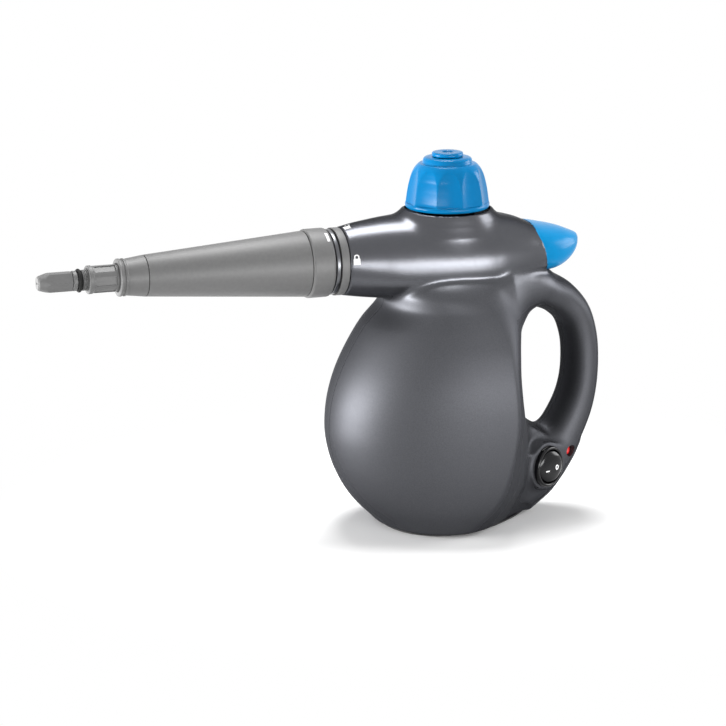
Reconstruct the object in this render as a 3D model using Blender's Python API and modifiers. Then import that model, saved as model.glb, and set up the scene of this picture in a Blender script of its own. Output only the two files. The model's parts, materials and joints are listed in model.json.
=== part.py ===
"""Handheld steam cleaner: a two-part painted housing around a pressure boiler, with a twist-lock nozzle,
a press-to-turn safety cap, a thumb trigger on a steam valve, a rocker switch and a pilot light.

Origin: centre of the foot, on the floor. The nozzle points to -X, +Z is up. Lengths are in metres.
"""

import math

import bmesh
import bpy
from mathutils import Matrix, Vector

# Clearances, walls and cuts
GAP = 0.0003
RUNNING_GAP = 0.0004
OVERRUN = 0.006
WALL = 0.0028
FLOOR_WALL = 0.0025

# Height of the nozzle's axis, which the pod's top, the cap, the valve and the trigger follow
AXIS_HEIGHT = 0.1485

# Pod: stacked plan sections, each front half and rear half a superellipse
POD_BOTTOM = 0.0020
POD_TOP_DROP = 0.0070
POD_TOP = AXIS_HEIGHT - POD_TOP_DROP
POD_FRONT = 0.0717
POD_REAR = 0.0420
POD_HALF_WIDTH = 0.0580
POD_FRONT_POWER = 2.1
POD_SIDES = 28
POD_CAVITY_SIDES = 20
# height, front reach, place of the widest point, rear reach, half width, power of the rear half
pod_shares = (
    (0.014, 0.612, -0.110, 0.714, 0.716, 1.60),
    (0.035, 0.653, -0.080, 0.738, 0.750, 1.60),
    (0.096, 0.774, 0.020, 0.857, 0.836, 1.50),
    (0.170, 0.876, 0.110, 0.976, 0.900, 1.45),
    (0.261, 0.956, 0.170, 1.000, 0.952, 1.40),
    (0.360, 0.998, 0.205, 0.924, 0.986, 1.40),
    (0.452, 0.994, 0.215, 0.840, 1.000, 1.40),
    (0.537, 0.962, 0.210, 0.788, 0.997, 1.45),
    (0.622, 0.903, 0.200, 0.762, 0.971, 1.45),
    (0.710, 0.815, 0.180, 0.786, 0.914, 1.50),
    (0.792, 0.711, 0.140, 0.833, 0.822, 1.60),
    (0.866, 0.577, 0.075, 0.810, 0.710, 1.70),
    (0.926, 0.443, 0.000, 0.690, 0.603, 1.70),
    (0.968, 0.305, 0.000, 0.524, 0.491, 1.70),
    (1.000, 0.129, 0.000, 0.286, 0.310, 1.70),
)

# Barrel: sections along X around the nozzle's axis
BARREL_FRONT = -0.0655
BARREL_LENGTH = 0.1175
BARREL_UP = 0.0234
BARREL_DOWN = 0.0220
BARREL_HALF_WIDTH = 0.0305
BARREL_POWER = 2.3
BARREL_FRONT_POWER = 2.0
BARREL_SIDES = 22
BARREL_CAVITY_SIDES = 16
BARREL_CAVITY_BAYS = 5
# place along the length, height above the axis, depth below it, half width
barrel_shares = (
    (0.000, 0.782, 0.832, 0.600),
    (0.074, 0.855, 0.891, 0.669),
    (0.149, 0.906, 0.936, 0.738),
    (0.217, 0.944, 0.964, 0.803),
    (0.319, 0.979, 0.982, 0.885),
    (0.455, 1.000, 1.000, 0.967),
    (0.591, 0.991, 0.977, 1.000),
    (0.694, 0.949, 0.932, 0.967),
    (0.779, 0.863, 0.841, 0.905),
    (0.855, 0.761, 0.750, 0.833),
    (0.915, 0.641, 0.659, 0.767),
    (1.000, 0.500, 0.614, 0.690),
)
RIM_TOP_X = 0.0415
RIM_TILT = math.radians(13.0)
PLATFORM_RADIUS = 0.0245
PLATFORM_FOOT_RADIUS = 0.0315
PLATFORM_RISE = 0.0248
PLATFORM_TOP = AXIS_HEIGHT + PLATFORM_RISE
PLATFORM_DROP = 0.0090

# Handle: a section swept along a path that leaves the barrel and comes down to the tail
HANDLE_REACH = 0.0750
HANDLE_DROP = 0.0250
HANDLE_RISE = AXIS_HEIGHT - HANDLE_DROP
HANDLE_HALF_DEPTH = 0.0110
HANDLE_HALF_WIDTH = 0.0150
HANDLE_POWER = 2.2
HANDLE_SIDES = 16
HANDLE_CAVITY_SIDES = 10
# place along X, height, half depth, half width
handle_shares = (
    (0.316, 0.980, 1.000, 1.800),
    (0.526, 1.000, 1.000, 1.600),
    (0.684, 0.996, 0.982, 1.367),
    (0.816, 0.968, 0.930, 1.200),
    (0.925, 0.898, 0.855, 1.080),
    (0.984, 0.794, 0.825, 1.013),
    (1.000, 0.684, 0.815, 1.000),
    (0.987, 0.571, 0.835, 1.000),
    (0.941, 0.466, 0.915, 1.000),
    (0.855, 0.360, 1.020, 1.033),
    (0.750, 0.267, 1.182, 1.133),
    (0.618, 0.170, 1.273, 1.267),
    (0.487, 0.095, 1.050, 1.200),
)

# Tail: wedge below the handle that carries the switch
TAIL_ROOT = 0.0120
TAIL_REACH = 0.0750
TAIL_TOP = 0.0380
TAIL_NOSE_RADIUS = 0.0100
TAIL_TAPER = math.radians(29.0)
TAIL_NOSE_STEPS = 6
# height, reach
tail_shares = ((0.053, 0.613), (0.316, 0.760), (0.579, 0.875), (0.816, 0.955), (1.000, 1.000))

# Foot: egg-shaped plan, blunt at the front
FOOT_CENTRE = -0.0080
FOOT_FRONT = 0.0350
FOOT_REAR = 0.0525
FOOT_HALF_WIDTH = 0.0395
FOOT_FRONT_POWER = 2.4
FOOT_REAR_POWER = 1.3
FOOT_SIDES = 28
COVER_BOTTOM = 0.0008
COVER_TOP = 0.0044
COVER_FLANGE_INSET = 0.0010
COVER_PLUG_INSET = 0.0035
SOLE_INSET = 0.0120
SOLE_THICKNESS = 0.0015
# forward or back of the foot's centre as a share of that reach, and sideways as a share of its half width
base_screw_shares = ((-0.571, 0.671), (0.533, 0.456))
BASE_SCREW_PLACES = [(FOOT_CENTRE + x * (FOOT_REAR if x > 0 else FOOT_FRONT), y * FOOT_HALF_WIDTH)
                     for x, y in base_screw_shares]
BASE_SCREW_HEAD_RADIUS = 0.0028
BASE_SCREW_HEAD_HEIGHT = 0.0016
BASE_SCREW_RADIUS = 0.0014
BASE_SCREW_LENGTH = 0.0105
BASE_SCREW_RECESS = 0.0022
POST_HALF_SIDE = 0.0048
POST_TOP = 0.0150

# Screws that hold the two halves together, at places in the middle plane
pod_screw_shares = ((-0.823, 0.495), (-0.530, 0.933))
handle_screw_shares = ((1.000, 0.680), (0.737, 1.000))
tail_screw_shares = ((0.787, 0.526),)
HOUSING_SCREW_PLACES = [(x * reach, z * top) for shares, reach, top in (
    (pod_screw_shares, POD_FRONT, POD_TOP), (handle_screw_shares, HANDLE_REACH, HANDLE_RISE),
    (tail_screw_shares, TAIL_REACH, TAIL_TOP)) for x, z in shares]
BOSS_RADIUS = 0.0042
HOUSING_SCREW_RADIUS = 0.0014
HOUSING_SCREW_HEAD_RADIUS = 0.0026
HOUSING_SCREW_HEAD_HEIGHT = 0.0024
HOUSING_SCREW_SEAT = 0.0040
HOUSING_SCREW_REACH = 0.0090
SLOT_WIDTH = 0.0007
SLOT_DEPTH = 0.0009
SLOT_LENGTH_SHARE = 0.75

# Nozzle: distances are measured forward from the origin along the axis
SOCKET_REAR = 0.0545
SOCKET_FACE = 0.0702
SOCKET_NOSE_LENGTH = 0.0029
SOCKET_NOSE = SOCKET_FACE + SOCKET_NOSE_LENGTH
SOCKET_RADIUS = 0.0182
SOCKET_NOSE_RADIUS = 0.0123
SOCKET_SLEEVE_RADIUS = 0.0129
SOCKET_FLANGE_RADIUS = 0.0148
SOCKET_FLANGE_THICKNESS = 0.0020
EDGE = 0.0005
TRIM_RADIUS = 0.0176
COLLAR_REAR = SOCKET_NOSE + GAP
COLLAR_LENGTH = 0.0126
COLLAR_FRONT = COLLAR_REAR + COLLAR_LENGTH
COLLAR_RADIUS = 0.0185
COLLAR_EDGE = 0.0010
COLLAR_FRONT_RADIUS = 0.0179
SPIGOT_REAR = 0.0580
SPIGOT_RADIUS = 0.0094
SPIGOT_BORE = 0.0066
COLLAR_WEB = 0.0036
COLLAR_CUP_RADIUS = 0.0154
LUG_SET_BACK = 0.0010
LUG_REAR = SPIGOT_REAR + LUG_SET_BACK
LUG_THICKNESS = 0.0030
LUG_FRONT = LUG_REAR + LUG_THICKNESS
LUG_RADIUS = 0.0111
LUG_PLAY = 0.0008
SOCKET_BORE = SPIGOT_RADIUS + RUNNING_GAP
SOCKET_GROOVE = LUG_RADIUS + LUG_PLAY
SOCKET_GROOVE_FRONT = LUG_FRONT + LUG_PLAY
LUG_WIDTH = 0.0060
LUG_TURN = math.radians(-20.0)
NOZZLE_WALL = 0.0020
CONE_REAR_RADIUS = 0.01765
CONE_LENGTH = 0.0882
CONE_FRONT = COLLAR_FRONT + CONE_LENGTH
CONE_FRONT_RADIUS = 0.0110
CONE_JOINT = 0.0070
FRONT_LENGTH = 0.0150
FRONT_FRONT = CONE_FRONT + FRONT_LENGTH
FRONT_STEP_LENGTH = 0.0036
FRONT_STEP = FRONT_FRONT - FRONT_STEP_LENGTH
FRONT_STEP_RADIUS = 0.0096
FRONT_RIM_RADIUS = 0.0100
FRONT_JOINT = 0.0045
TOOL_INSERTION = 0.0092
TOOL_REAR = FRONT_FRONT - TOOL_INSERTION
TOOL_RADIUS = 0.0073
TOOL_LENGTH = 0.0161
TOOL_SHOULDER = FRONT_FRONT + TOOL_LENGTH
TOOL_NECK_RADIUS = 0.0055
TOOL_NECK_LENGTH = 0.0031
TOOL_GROOVE_REAR = TOOL_SHOULDER + TOOL_NECK_LENGTH
TOOL_GROOVE_WIDTH = 0.0028
TOOL_GROOVE_FRONT = TOOL_GROOVE_REAR + TOOL_GROOVE_WIDTH
TOOL_GROOVE_RADIUS = 0.0039
TOOL_FLANGE_THICKNESS = 0.0023
TOOL_FRONT = TOOL_GROOVE_FRONT + TOOL_FLANGE_THICKNESS
TOOL_BORE_FLOOR = 0.0018
TOOL_BORE_END = TOOL_SHOULDER - TOOL_BORE_FLOOR
TOOL_PORT = 0.0020
TOOL_POCKETS = 6
TOOL_POCKET_MARGIN = 0.0013
TOOL_POCKET_REAR = FRONT_FRONT + TOOL_POCKET_MARGIN
TOOL_POCKET_SHORTFALL = 0.0030
TOOL_POCKET_FRONT = TOOL_SHOULDER - TOOL_POCKET_SHORTFALL
TOOL_POCKET_WIDTH = 0.0040
TOOL_POCKET_DEPTH = 0.0009
O_RING_THICKNESS = 0.0020
TIP_HEX_LENGTH = 0.0130
TIP_TAPER = TOOL_FRONT + TIP_HEX_LENGTH
TIP_TAPER_LENGTH = 0.0055
TIP_FRONT = TIP_TAPER + TIP_TAPER_LENGTH
TIP_RADIUS = 0.0055
TIP_FACE_RADIUS = 0.0034
TIP_PLUG_RADIUS = 0.0017
TIP_PLUG_LENGTH = 0.0050
JET_RADIUS = 0.0008
TUBE_SET_BACK = 0.0020
TUBE_REAR = SPIGOT_REAR + TUBE_SET_BACK
TUBE_CLEARANCE = 0.0005
TUBE_FRONT = TOOL_BORE_END - TUBE_CLEARANCE
TUBE_RADIUS = 0.0056
TOOL_BORE = TUBE_RADIUS + GAP
TUBE_BORE = 0.0046
NIPPLE_REAR = 0.0410
NIPPLE_FRONT = 0.0660
NIPPLE_RADIUS = 0.0034
NIPPLE_BORE = 0.0019
NIPPLE_FLANGE_RADIUS = 0.0060
NIPPLE_FLANGE_THICKNESS = 0.0020
BULKHEAD_FRONT = 0.0470
BULKHEAD_REAR = 0.0450
BULKHEAD_REACH = 0.0235
SEAL_PLACE = 0.0625
SEAL_THICKNESS = 0.0006

# Boiler and filler neck, on one upright axis with the cap
BOILER_X = -0.0040
BOILER_BOTTOM = 0.0220
BOILER_RADIUS = 0.0290
BOILER_WALL = 0.0024
BOILER_FLANGE_RADIUS = 0.0350
BOILER_FLANGE_THICKNESS = 0.0025
BOILER_SPLIT = 0.0660
BOILER_GASKET = 0.0010
BOILER_HEADROOM = 0.0295
BOILER_TOP = POD_TOP - BOILER_HEADROOM
BOILER_EDGE = 0.0020
BOILER_MOUTH_RADIUS = 0.0113
BOILER_BOLT_CIRCLE = 0.0320
BOILER_BOLTS = 3
BOLT_RADIUS = 0.0013
BOLT_HEAD_RADIUS = 0.0023
BOLT_HEAD_HEIGHT = 0.0020
BOLT_LENGTH = 0.0095
SHELF_THICKNESS = 0.0034
SHELF_HOLE = 0.0145
SHELF_REAR = 0.0270
NECK_RADIUS = 0.0130
NECK_BORE = 0.0106
NECK_SINK = 0.0033
NECK_TOP = PLATFORM_TOP - NECK_SINK
NECK_FLANGE_RADIUS = 0.0170
NECK_FLANGE_THICKNESS = 0.0027
ELEMENT_RADIUS = 0.0024
ELEMENT_RING_RADIUS = 0.0170
ELEMENT_RING_HEIGHT = 0.0105
ELEMENT_LEG_CIRCLE = 0.0090
ELEMENT_LEG_ANGLE = math.radians(28.0)
ELEMENT_LEG_DROP = 0.0035
ELEMENT_ARC_STEPS = 16
THERMOSTAT_RADIUS = 0.0052
THERMOSTAT_CAP_RADIUS = 0.0040
THERMOSTAT_HEIGHT = 0.0052
TOP_FITTING_CIRCLE = 0.0230
FUSE_RADIUS = 0.0018
FUSE_LENGTH = 0.0110

# Safety cap
CAP_CLEARANCE = 0.0009
CAP_BASE = PLATFORM_TOP + CAP_CLEARANCE
CAP_HEIGHT = 0.0273
CAP_TOP = CAP_BASE + CAP_HEIGHT
CAP_RADIUS = 0.0228
CAP_FLUTES = 10
CAP_FLUTE_DEPTH = 0.0013
CAP_POINTS_PER_FLUTE = 4
# height from base to top, radius, flute depth
cap_shares = (
    (0.000, 0.978, 0.0),
    (0.040, 1.000, 0.0),
    (0.085, 0.996, 0.0),
    (0.110, 0.985, 0.9),
    (0.370, 0.940, 1.0),
    (0.640, 0.860, 0.7),
    (0.780, 0.777, 0.2),
    (0.862, 0.695, 0.0),
    (0.880, 0.590, 0.0),
    (0.975, 0.555, 0.0),
    (1.000, 0.480, 0.0),
)
CAP_INNER_RADIUS = 0.0196
CAP_SHOULDER_RADIUS = 0.0150
CAP_SHOULDER_RISE = 0.0178
CAP_SHOULDER = CAP_BASE + CAP_SHOULDER_RISE
CAP_WAIST_RADIUS = 0.0172
CAP_WAIST_RISE = 0.0143
CAP_WAIST = CAP_BASE + CAP_WAIST_RISE
CAP_ROOF_RISE = 0.0198
CAP_ROOF = CAP_BASE + CAP_ROOF_RISE
CAP_ROOF_THICKNESS = 0.0022
CAP_SCREW_SEAT = CAP_ROOF + CAP_ROOF_THICKNESS
CAP_POCKET_RADIUS = 0.0060
SLEEVE_RADIUS = 0.0145
SLEEVE_BORE = 0.0096
SLEEVE_RISE = 0.0046
SLEEVE_BOTTOM = CAP_BASE + SLEEVE_RISE
TOOTH_HEIGHT = 0.0024
TEETH = 8
TOOTH_SLOT_WIDTH = 0.0060
CAP_DISC_RADIUS = 0.0084
CAP_DISC_THICKNESS = 0.0022
CAP_DISC_PLUG = 0.0005
CAP_DIMPLE_RADIUS = 0.0028
CAP_DIMPLE_DEPTH = 0.0010
PLUG_RADIUS = 0.0102
PLUG_LENGTH = 0.0100
PLUG_BOTTOM = NECK_TOP - PLUG_LENGTH
PLUG_FLANGE_RADIUS = 0.0150
PLUG_FLANGE_RISE = 0.0021
PLUG_FLANGE_BOTTOM = NECK_TOP + PLUG_FLANGE_RISE
PLUG_FLANGE_THICKNESS = 0.0032
PLUG_FLANGE_TOP = PLUG_FLANGE_BOTTOM + PLUG_FLANGE_THICKNESS
PLUG_HUB_RADIUS = 0.0068
PLUG_HUB_HEIGHT = 0.0147
PLUG_HUB_TOP = PLUG_FLANGE_TOP + PLUG_HUB_HEIGHT
PLUG_TEETH_INNER = 0.0102
PLUG_TEETH_OUTER = 0.0141
CAP_GASKET_THICKNESS = 0.0015
NECK_WELL_RADIUS = 0.0233
NECK_WELL_DEPTH = 0.0018
CAP_SPRING_RADIUS = 0.0082
CAP_SPRING_WIRE = 0.0009
CAP_SPRING_TURNS = 5
WASHER_RADIUS = 0.0092
WASHER_BORE = 0.0072
WASHER_THICKNESS = 0.0010
CAP_SCREW_RADIUS = 0.0018
CAP_SCREW_HEAD_RADIUS = 0.0045
CAP_SCREW_HEAD_HEIGHT = 0.0020
CAP_SCREW_LENGTH = 0.0160
RELIEF_SEAT_RADIUS = 0.0066
RELIEF_SEAT_THICKNESS = 0.0030
RELIEF_PORT = 0.0015
RELIEF_BALL_RADIUS = 0.0022
RELIEF_CHAMBER_RADIUS = 0.0046
RELIEF_CHAMBER_RISE = 0.0013
RELIEF_CHAMBER_TOP = NECK_TOP + RELIEF_CHAMBER_RISE
RELIEF_SPRING_RADIUS = 0.0019
RELIEF_SPRING_WIRE = 0.0005
RELIEF_SPRING_TURNS = 3
RELIEF_LIFT = 0.0010

# Steam valve behind the neck, and the thumb trigger that opens it
VALVE_HALF_LENGTH = 0.0072
VALVE_HALF_WIDTH = 0.0080
VALVE_BOTTOM_DROP = 0.0285
VALVE_BOTTOM = AXIS_HEIGHT - VALVE_BOTTOM_DROP
VALVE_TOP_DROP = 0.0115
VALVE_TOP = AXIS_HEIGHT - VALVE_TOP_DROP
VALVE_BAY_FRONT = 0.0085
VALVE_BAY_REAR = 0.0375
VALVE_BAY_HALF_WIDTH = 0.0115
VALVE_BAY_MARGIN = 0.0050
VALVE_BAY_BOTTOM = VALVE_BOTTOM - VALVE_BAY_MARGIN
VALVE_BAY_ROOF = 0.0010
VALVE_BAY_TOP = POD_TOP - VALVE_BAY_ROOF
PIPE_BAY_FRONT = -0.0140
PIPE_BAY_REAR = 0.0225
PIPE_BAY_SIDE = 0.0210
PIPE_BAY_BOTTOM_DROP = 0.0220
PIPE_BAY_BOTTOM = AXIS_HEIGHT - PIPE_BAY_BOTTOM_DROP
PIPE_BAY_ROOF = 0.0015
PIPE_BAY_TOP = POD_TOP - PIPE_BAY_ROOF
STEM_DROP = 0.0195
STEM_HEIGHT = AXIS_HEIGHT - STEM_DROP
STEM_RADIUS = 0.0022
STEM_BORE = STEM_RADIUS + RUNNING_GAP
STEM_BORE_DEPTH = 0.0110
STEM_END = 0.0364
STEM_INSERTION = 0.0070
STEM_COLLAR_RADIUS = 0.0043
STEM_COLLAR_THICKNESS = 0.0016
STEM_SPRING_RADIUS = 0.0034
STEM_SPRING_WIRE = 0.0007
STEM_SPRING_TURNS = 4
RISER_RADIUS = 0.0040
RISER_BORE = 0.0026
RISER_FLANGE_RADIUS = 0.0055
RISER_FLANGE_THICKNESS = 0.0020
STEAM_PORT_RADIUS = 0.0019
INLET_PORT_RADIUS = 0.0021
STEAM_TUBE_RADIUS = 0.0025
STEAM_TUBE_STEPS = 3
# place along, reach sideways, rise
steam_tube_shares = ((0.084, 1.000, 0.111), (0.385, 1.000, 0.500), (0.603, 0.800, 0.800),
                     (0.802, 0.333, 0.944))
PIVOT_X = 0.0400
PIVOT_DROP = 0.0025
PIVOT_HEIGHT = AXIS_HEIGHT - PIVOT_DROP
PIVOT_BOSS_RADIUS = 0.0042
PIVOT_BOSS_INNER = 0.0155
PIVOT_PIN_RADIUS = 0.0016
PIVOT_PIN_HALF_LENGTH = 0.0185
PIVOT_HOLE_RADIUS = 0.0019
HUB_RADIUS = 0.0040
HUB_LEFT = 0.0152
HUB_RIGHT = 0.0050
WEB_FRONT = 0.0370
WEB_REAR = 0.0440
YOKE_FRONT = 0.0355
YOKE_REAR = 0.0500
YOKE_HALF_WIDTH = 0.0145
YOKE_RISE = 0.0040
YOKE_BOTTOM = PIVOT_HEIGHT + YOKE_RISE
YOKE_THICKNESS = 0.0070
YOKE_TOP = YOKE_BOTTOM + YOKE_THICKNESS
ARM_HALF_WIDTH = 0.0030
ARM_FACE = 0.0368
ARM_THICKNESS = 0.0036
ARM_OVERLAP = 0.0025
ARM_BOTTOM = STEM_HEIGHT - ARM_OVERLAP
ARM_KNEE_RISE = 0.0050
ARM_KNEE = STEM_HEIGHT + ARM_KNEE_RISE
ARM_SLOT_HALF_WIDTH = 0.0050
ARM_SLOT_FRONT = 0.0340
ARM_SLOT_REAR = 0.0445
ARM_SLOT_DROP = 0.0010
ARM_SLOT_BOTTOM = STEM_HEIGHT - ARM_SLOT_DROP
ARM_SLOT_ROOF = 0.0050
ARM_SLOT_TOP = PIVOT_HEIGHT - ARM_SLOT_ROOF
TRIGGER_ROOT = 0.0400
TRIGGER_REACH = 0.0715
TRIGGER_HALF_WIDTH = 0.0225
TRIGGER_UP = 0.0150
TRIGGER_DOWN = 0.0120
TRIGGER_POWER = 2.3
TRIGGER_SIDES = 20
TRIGGER_TILT = math.radians(15.5)
TRIGGER_GAP = 0.0010
# place between root and reach, top and bottom around the nozzle's axis, half width
trigger_shares = (
    (0.000, 1.020, -0.900, 1.000),
    (0.160, 0.960, -0.917, 0.978),
    (0.350, 0.860, -1.000, 0.907),
    (0.540, 0.767, -0.967, 0.800),
    (0.700, 0.647, -0.758, 0.667),
    (0.830, 0.520, -0.508, 0.511),
    (0.920, 0.440, -0.208, 0.356),
    (0.975, 0.367, 0.042, 0.200),
    (1.000, 0.293, 0.167, 0.111),
)
TRIGGER_SPRING_RADIUS = 0.0024
TRIGGER_SPRING_WIRE = 0.0008
TRIGGER_SPRING_TURNS = 3
TRIGGER_SPRING_START = 0.0062
TRIGGER_SPRING_WIDTH = 0.0040

# Switch, pilot light and cord gland on the tail's flanks
SWITCH_SET_BACK = 0.0220
SWITCH_HEIGHT = 0.0298
SWITCH_BOSS_RADIUS = 0.0130
SWITCH_BOSS_PROUD = 0.0022
SWITCH_BOSS_ROOT = 0.0050
SWITCH_BEZEL_RADIUS = 0.0115
SWITCH_BEZEL_THICKNESS = 0.0028
SWITCH_BODY_RADIUS = 0.0099
SWITCH_BODY_DEPTH = 0.0150
SWITCH_WELL_RADIUS = 0.0095
SWITCH_WELL_DEPTH = 0.0066
ROCKER_RADIUS = 0.0090
ROCKER_FOOT_RADIUS = 0.0083
ROCKER_RISE = 0.0026
ROCKER_CROWN = 0.0010
ROCKER_DROP = 0.0034
ROCKER_TILT = math.radians(8.0)
TERMINAL_SPREAD = 0.0040
TERMINAL_WIDTH = 0.0040
TERMINAL_THICKNESS = 0.0008
TERMINAL_LENGTH = 0.0060
LIGHT_SET_BACK = 0.0060
LIGHT_HEIGHT = 0.0335
LIGHT_RADIUS = 0.0030
LIGHT_SHANK_RADIUS = 0.0024
LIGHT_SHANK_LENGTH = 0.0070
LIGHT_RISE = 0.0014
LIGHT_SHOULDER = 0.0008
LIGHT_CROWN_RADIUS = 0.0018
LIGHT_BOSS_RADIUS = 0.0040
GLAND_X = 0.0440
GLAND_HEIGHT = 0.0170
GLAND_FACE = 0.0235
GLAND_BOSS_ROOT = 0.0060
GLAND_BOSS_RADIUS = 0.0085
GLAND_FLANGE_RADIUS = 0.0075
GLAND_FLANGE_THICKNESS = 0.0015
GLAND_RADIUS = 0.0059
GLAND_BORE = 0.0042
GLAND_LENGTH = 0.0060
WIRE_RADIUS = 0.0010
WIRE_STANDOFF = 0.0019
WIRE_STEPS = 4

# Counts of sides
FINE_SIDES = 28
ROUND_SIDES = 22
MEDIUM_SIDES = 16
SMALL_SIDES = 10
HEX_SIDES = 6
COIL_POINTS = 8
RING_SECTION_POINTS = 6

UP = Vector((0, 0, 1))
FORWARD = Vector((-1, 0, 0))
RIGHT_HAND = Vector((0, 1, 0))
LEFT_HAND = Vector((0, -1, 0))
SWITCH_OUTWARD = Vector((math.sin(TAIL_TAPER), -math.cos(TAIL_TAPER), 0))


for stale in list(bpy.data.objects):
    bpy.data.objects.remove(stale, do_unlink=True)

parts = bpy.data.collections.new("handheld_steam_cleaner")
cutters = bpy.data.collections.new("cutters")
bpy.context.scene.collection.children.link(parts)
bpy.context.scene.collection.children.link(cutters)
cutters.hide_render = True


def finish(name, colour, roughness, metallic=0.0):
    """A Principled material of one colour."""
    material = bpy.data.materials.new(name)
    material.use_nodes = True
    shader = material.node_tree.nodes["Principled BSDF"]
    shader.inputs["Base Color"].default_value = (*colour, 1.0)
    shader.inputs["Roughness"].default_value = roughness
    shader.inputs["Metallic"].default_value = metallic
    return material


painted_plastic = finish("gunmetal_paint", (0.09, 0.09, 0.10), 0.32, 0.6)
grey_plastic = finish("grey_plastic", (0.16, 0.16, 0.16), 0.5)
blue_plastic = finish("blue_plastic", (0.01, 0.22, 0.60), 0.3)
black_plastic = finish("black_plastic", (0.01, 0.01, 0.01), 0.45)
inner_plastic = finish("inner_plastic", (0.05, 0.05, 0.05), 0.6)
red_lens = finish("red_lens", (0.60, 0.02, 0.02), 0.2)
rubber = finish("rubber", (0.02, 0.02, 0.02), 0.8)
bright_metal = finish("bright_metal", (0.70, 0.70, 0.70), 0.2, 1.0)
aluminium = finish("aluminium", (0.60, 0.60, 0.60), 0.4, 1.0)
brass = finish("brass", (0.60, 0.42, 0.15), 0.35, 1.0)
steel = finish("steel", (0.45, 0.45, 0.45), 0.35, 1.0)
wire_jacket = finish("wire_jacket", (0.40, 0.05, 0.03), 0.5)


def placed(name, mesh, material, place=(0, 0, 0), along=None, cutter=False):
    """Puts a mesh in the scene with its own Z turned to the given direction."""
    item = bpy.data.objects.new(name, mesh)
    (cutters if cutter else parts).objects.link(item)
    item.location = place
    if along is not None:
        item.rotation_euler = along.to_track_quat("Z", "Y").to_euler()
    if material is not None:
        mesh.materials.append(material)
    if cutter:
        item.hide_render = True
        item.display_type = "WIRE"
    return item


def turned(name, profile, material, place=(0, 0, 0), along=UP, sides=ROUND_SIDES, ring=False, cutter=False):
    """A turned piece from (radius, height) points down its outer side. A ring's profile closes on itself."""
    last = len(profile) - 1
    edges = [(i, i + 1) for i in range(last)] + ([(last, 0)] if ring else [])
    mesh = bpy.data.meshes.new(name)
    mesh.from_pydata([(radius, 0, height) for radius, height in profile], edges, [])
    item = placed(name, mesh, material, place, along, cutter)
    screw = item.modifiers.new("Turn", "SCREW")
    screw.steps = sides
    screw.render_steps = sides
    screw.use_merge_vertices = True
    screw.merge_threshold = GAP / 10
    screw.use_smooth_shade = sides > HEX_SIDES
    return item


def rod(name, radius, start, end, sides=SMALL_SIDES, material=None, cutter=True):
    """A plain round bar from start to end."""
    start = Vector(start)
    reach = Vector(end) - start
    profile = [(0, reach.length), (radius, reach.length), (radius, 0), (0, 0)]
    return turned(name, profile, material, start, reach.normalized(), sides, cutter=cutter)


def block(name, low, high, material=None, cutter=True):
    """A box between two corners."""
    low = Vector(low)
    high = Vector(high)
    mesh = bpy.data.meshes.new(name)
    work = bmesh.new()
    bmesh.ops.create_cube(work, size=1,
                          matrix=Matrix.Translation((low + high) / 2) @ Matrix.Diagonal((*(high - low), 1)))
    work.to_mesh(mesh)
    work.free()
    return placed(name, mesh, material, cutter=cutter)


def lofted(name, rings, material=None, cutter=True):
    """A closed body through rings of as many points each, with a flat cap at both ends."""
    work = bmesh.new()
    loops = [[work.verts.new(point) for point in ring] for ring in rings]
    for lower, upper in zip(loops, loops[1:]):
        for i in range(len(lower)):
            j = (i + 1) % len(lower)
            work.faces.new((lower[i], lower[j], upper[j], upper[i]))
    work.faces.new(reversed(loops[0]))
    work.faces.new(loops[-1])
    bmesh.ops.recalc_face_normals(work, faces=work.faces)
    bmesh.ops.triangulate(work, faces=work.faces)
    mesh = bpy.data.meshes.new(name)
    work.to_mesh(mesh)
    work.free()
    mesh.shade_smooth()
    return placed(name, mesh, material, cutter=cutter)


def plate(name, outline, half_thickness, material=None, cutter=True):
    """A flat outline in the XZ plane, thick along Y."""
    near = [(x, -half_thickness, z) for x, z in outline]
    far = [(x, half_thickness, z) for x, z in outline]
    return lofted(name, [near, far], material, cutter)


def combine(item, other, operation="DIFFERENCE", solver="EXACT"):
    """Cuts other from item, or joins it to item."""
    change = item.modifiers.new(other.name, "BOOLEAN")
    change.operation = operation
    change.object = other
    change.solver = solver
    return item


def shape(item, other, operation="DIFFERENCE"):
    """As combine, for the housing's long run of curved forms, where the exact solver leaves open edges."""
    return combine(item, other, operation, "MANIFOLD")


def settled(item):
    """The item's mesh with its modifiers applied."""
    graph = bpy.context.evaluated_depsgraph_get()
    return bpy.data.meshes.new_from_object(item.evaluated_get(graph))


def gathered(name, items):
    """One cutter out of several that don't touch one another."""
    work = bmesh.new()
    bpy.context.view_layer.update()
    for item in items:
        mesh = settled(item)
        mesh.transform(item.matrix_world)
        work.from_mesh(mesh)
        bpy.data.objects.remove(item, do_unlink=True)
    mesh = bpy.data.meshes.new(name)
    work.to_mesh(mesh)
    work.free()
    return placed(name, mesh, None, cutter=True)


def superellipse(angle, front, rear, half_width, front_power, rear_power):
    """A point of a plan whose front (-X) and rear (+X) halves have their own reach and power."""
    along, across = math.cos(angle), math.sin(angle)
    reach, power = (rear, rear_power) if along > 0 else (front, front_power)
    x = math.copysign(abs(along) ** (2 / power), along) * reach
    y = math.copysign(abs(across) ** (2 / power), across) * half_width
    return x, y


def around(count):
    return [math.tau * i / count for i in range(count)]


def between(table, place):
    """The row of a table at a place between its rows, by straight interpolation on the first column."""
    for low, high in zip(table, table[1:]):
        if place <= high[0]:
            share = max(0.0, (place - low[0]) / (high[0] - low[0]))
            return [a + (b - a) * share for a, b in zip(low, high)]
    return list(table[-1])


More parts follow.
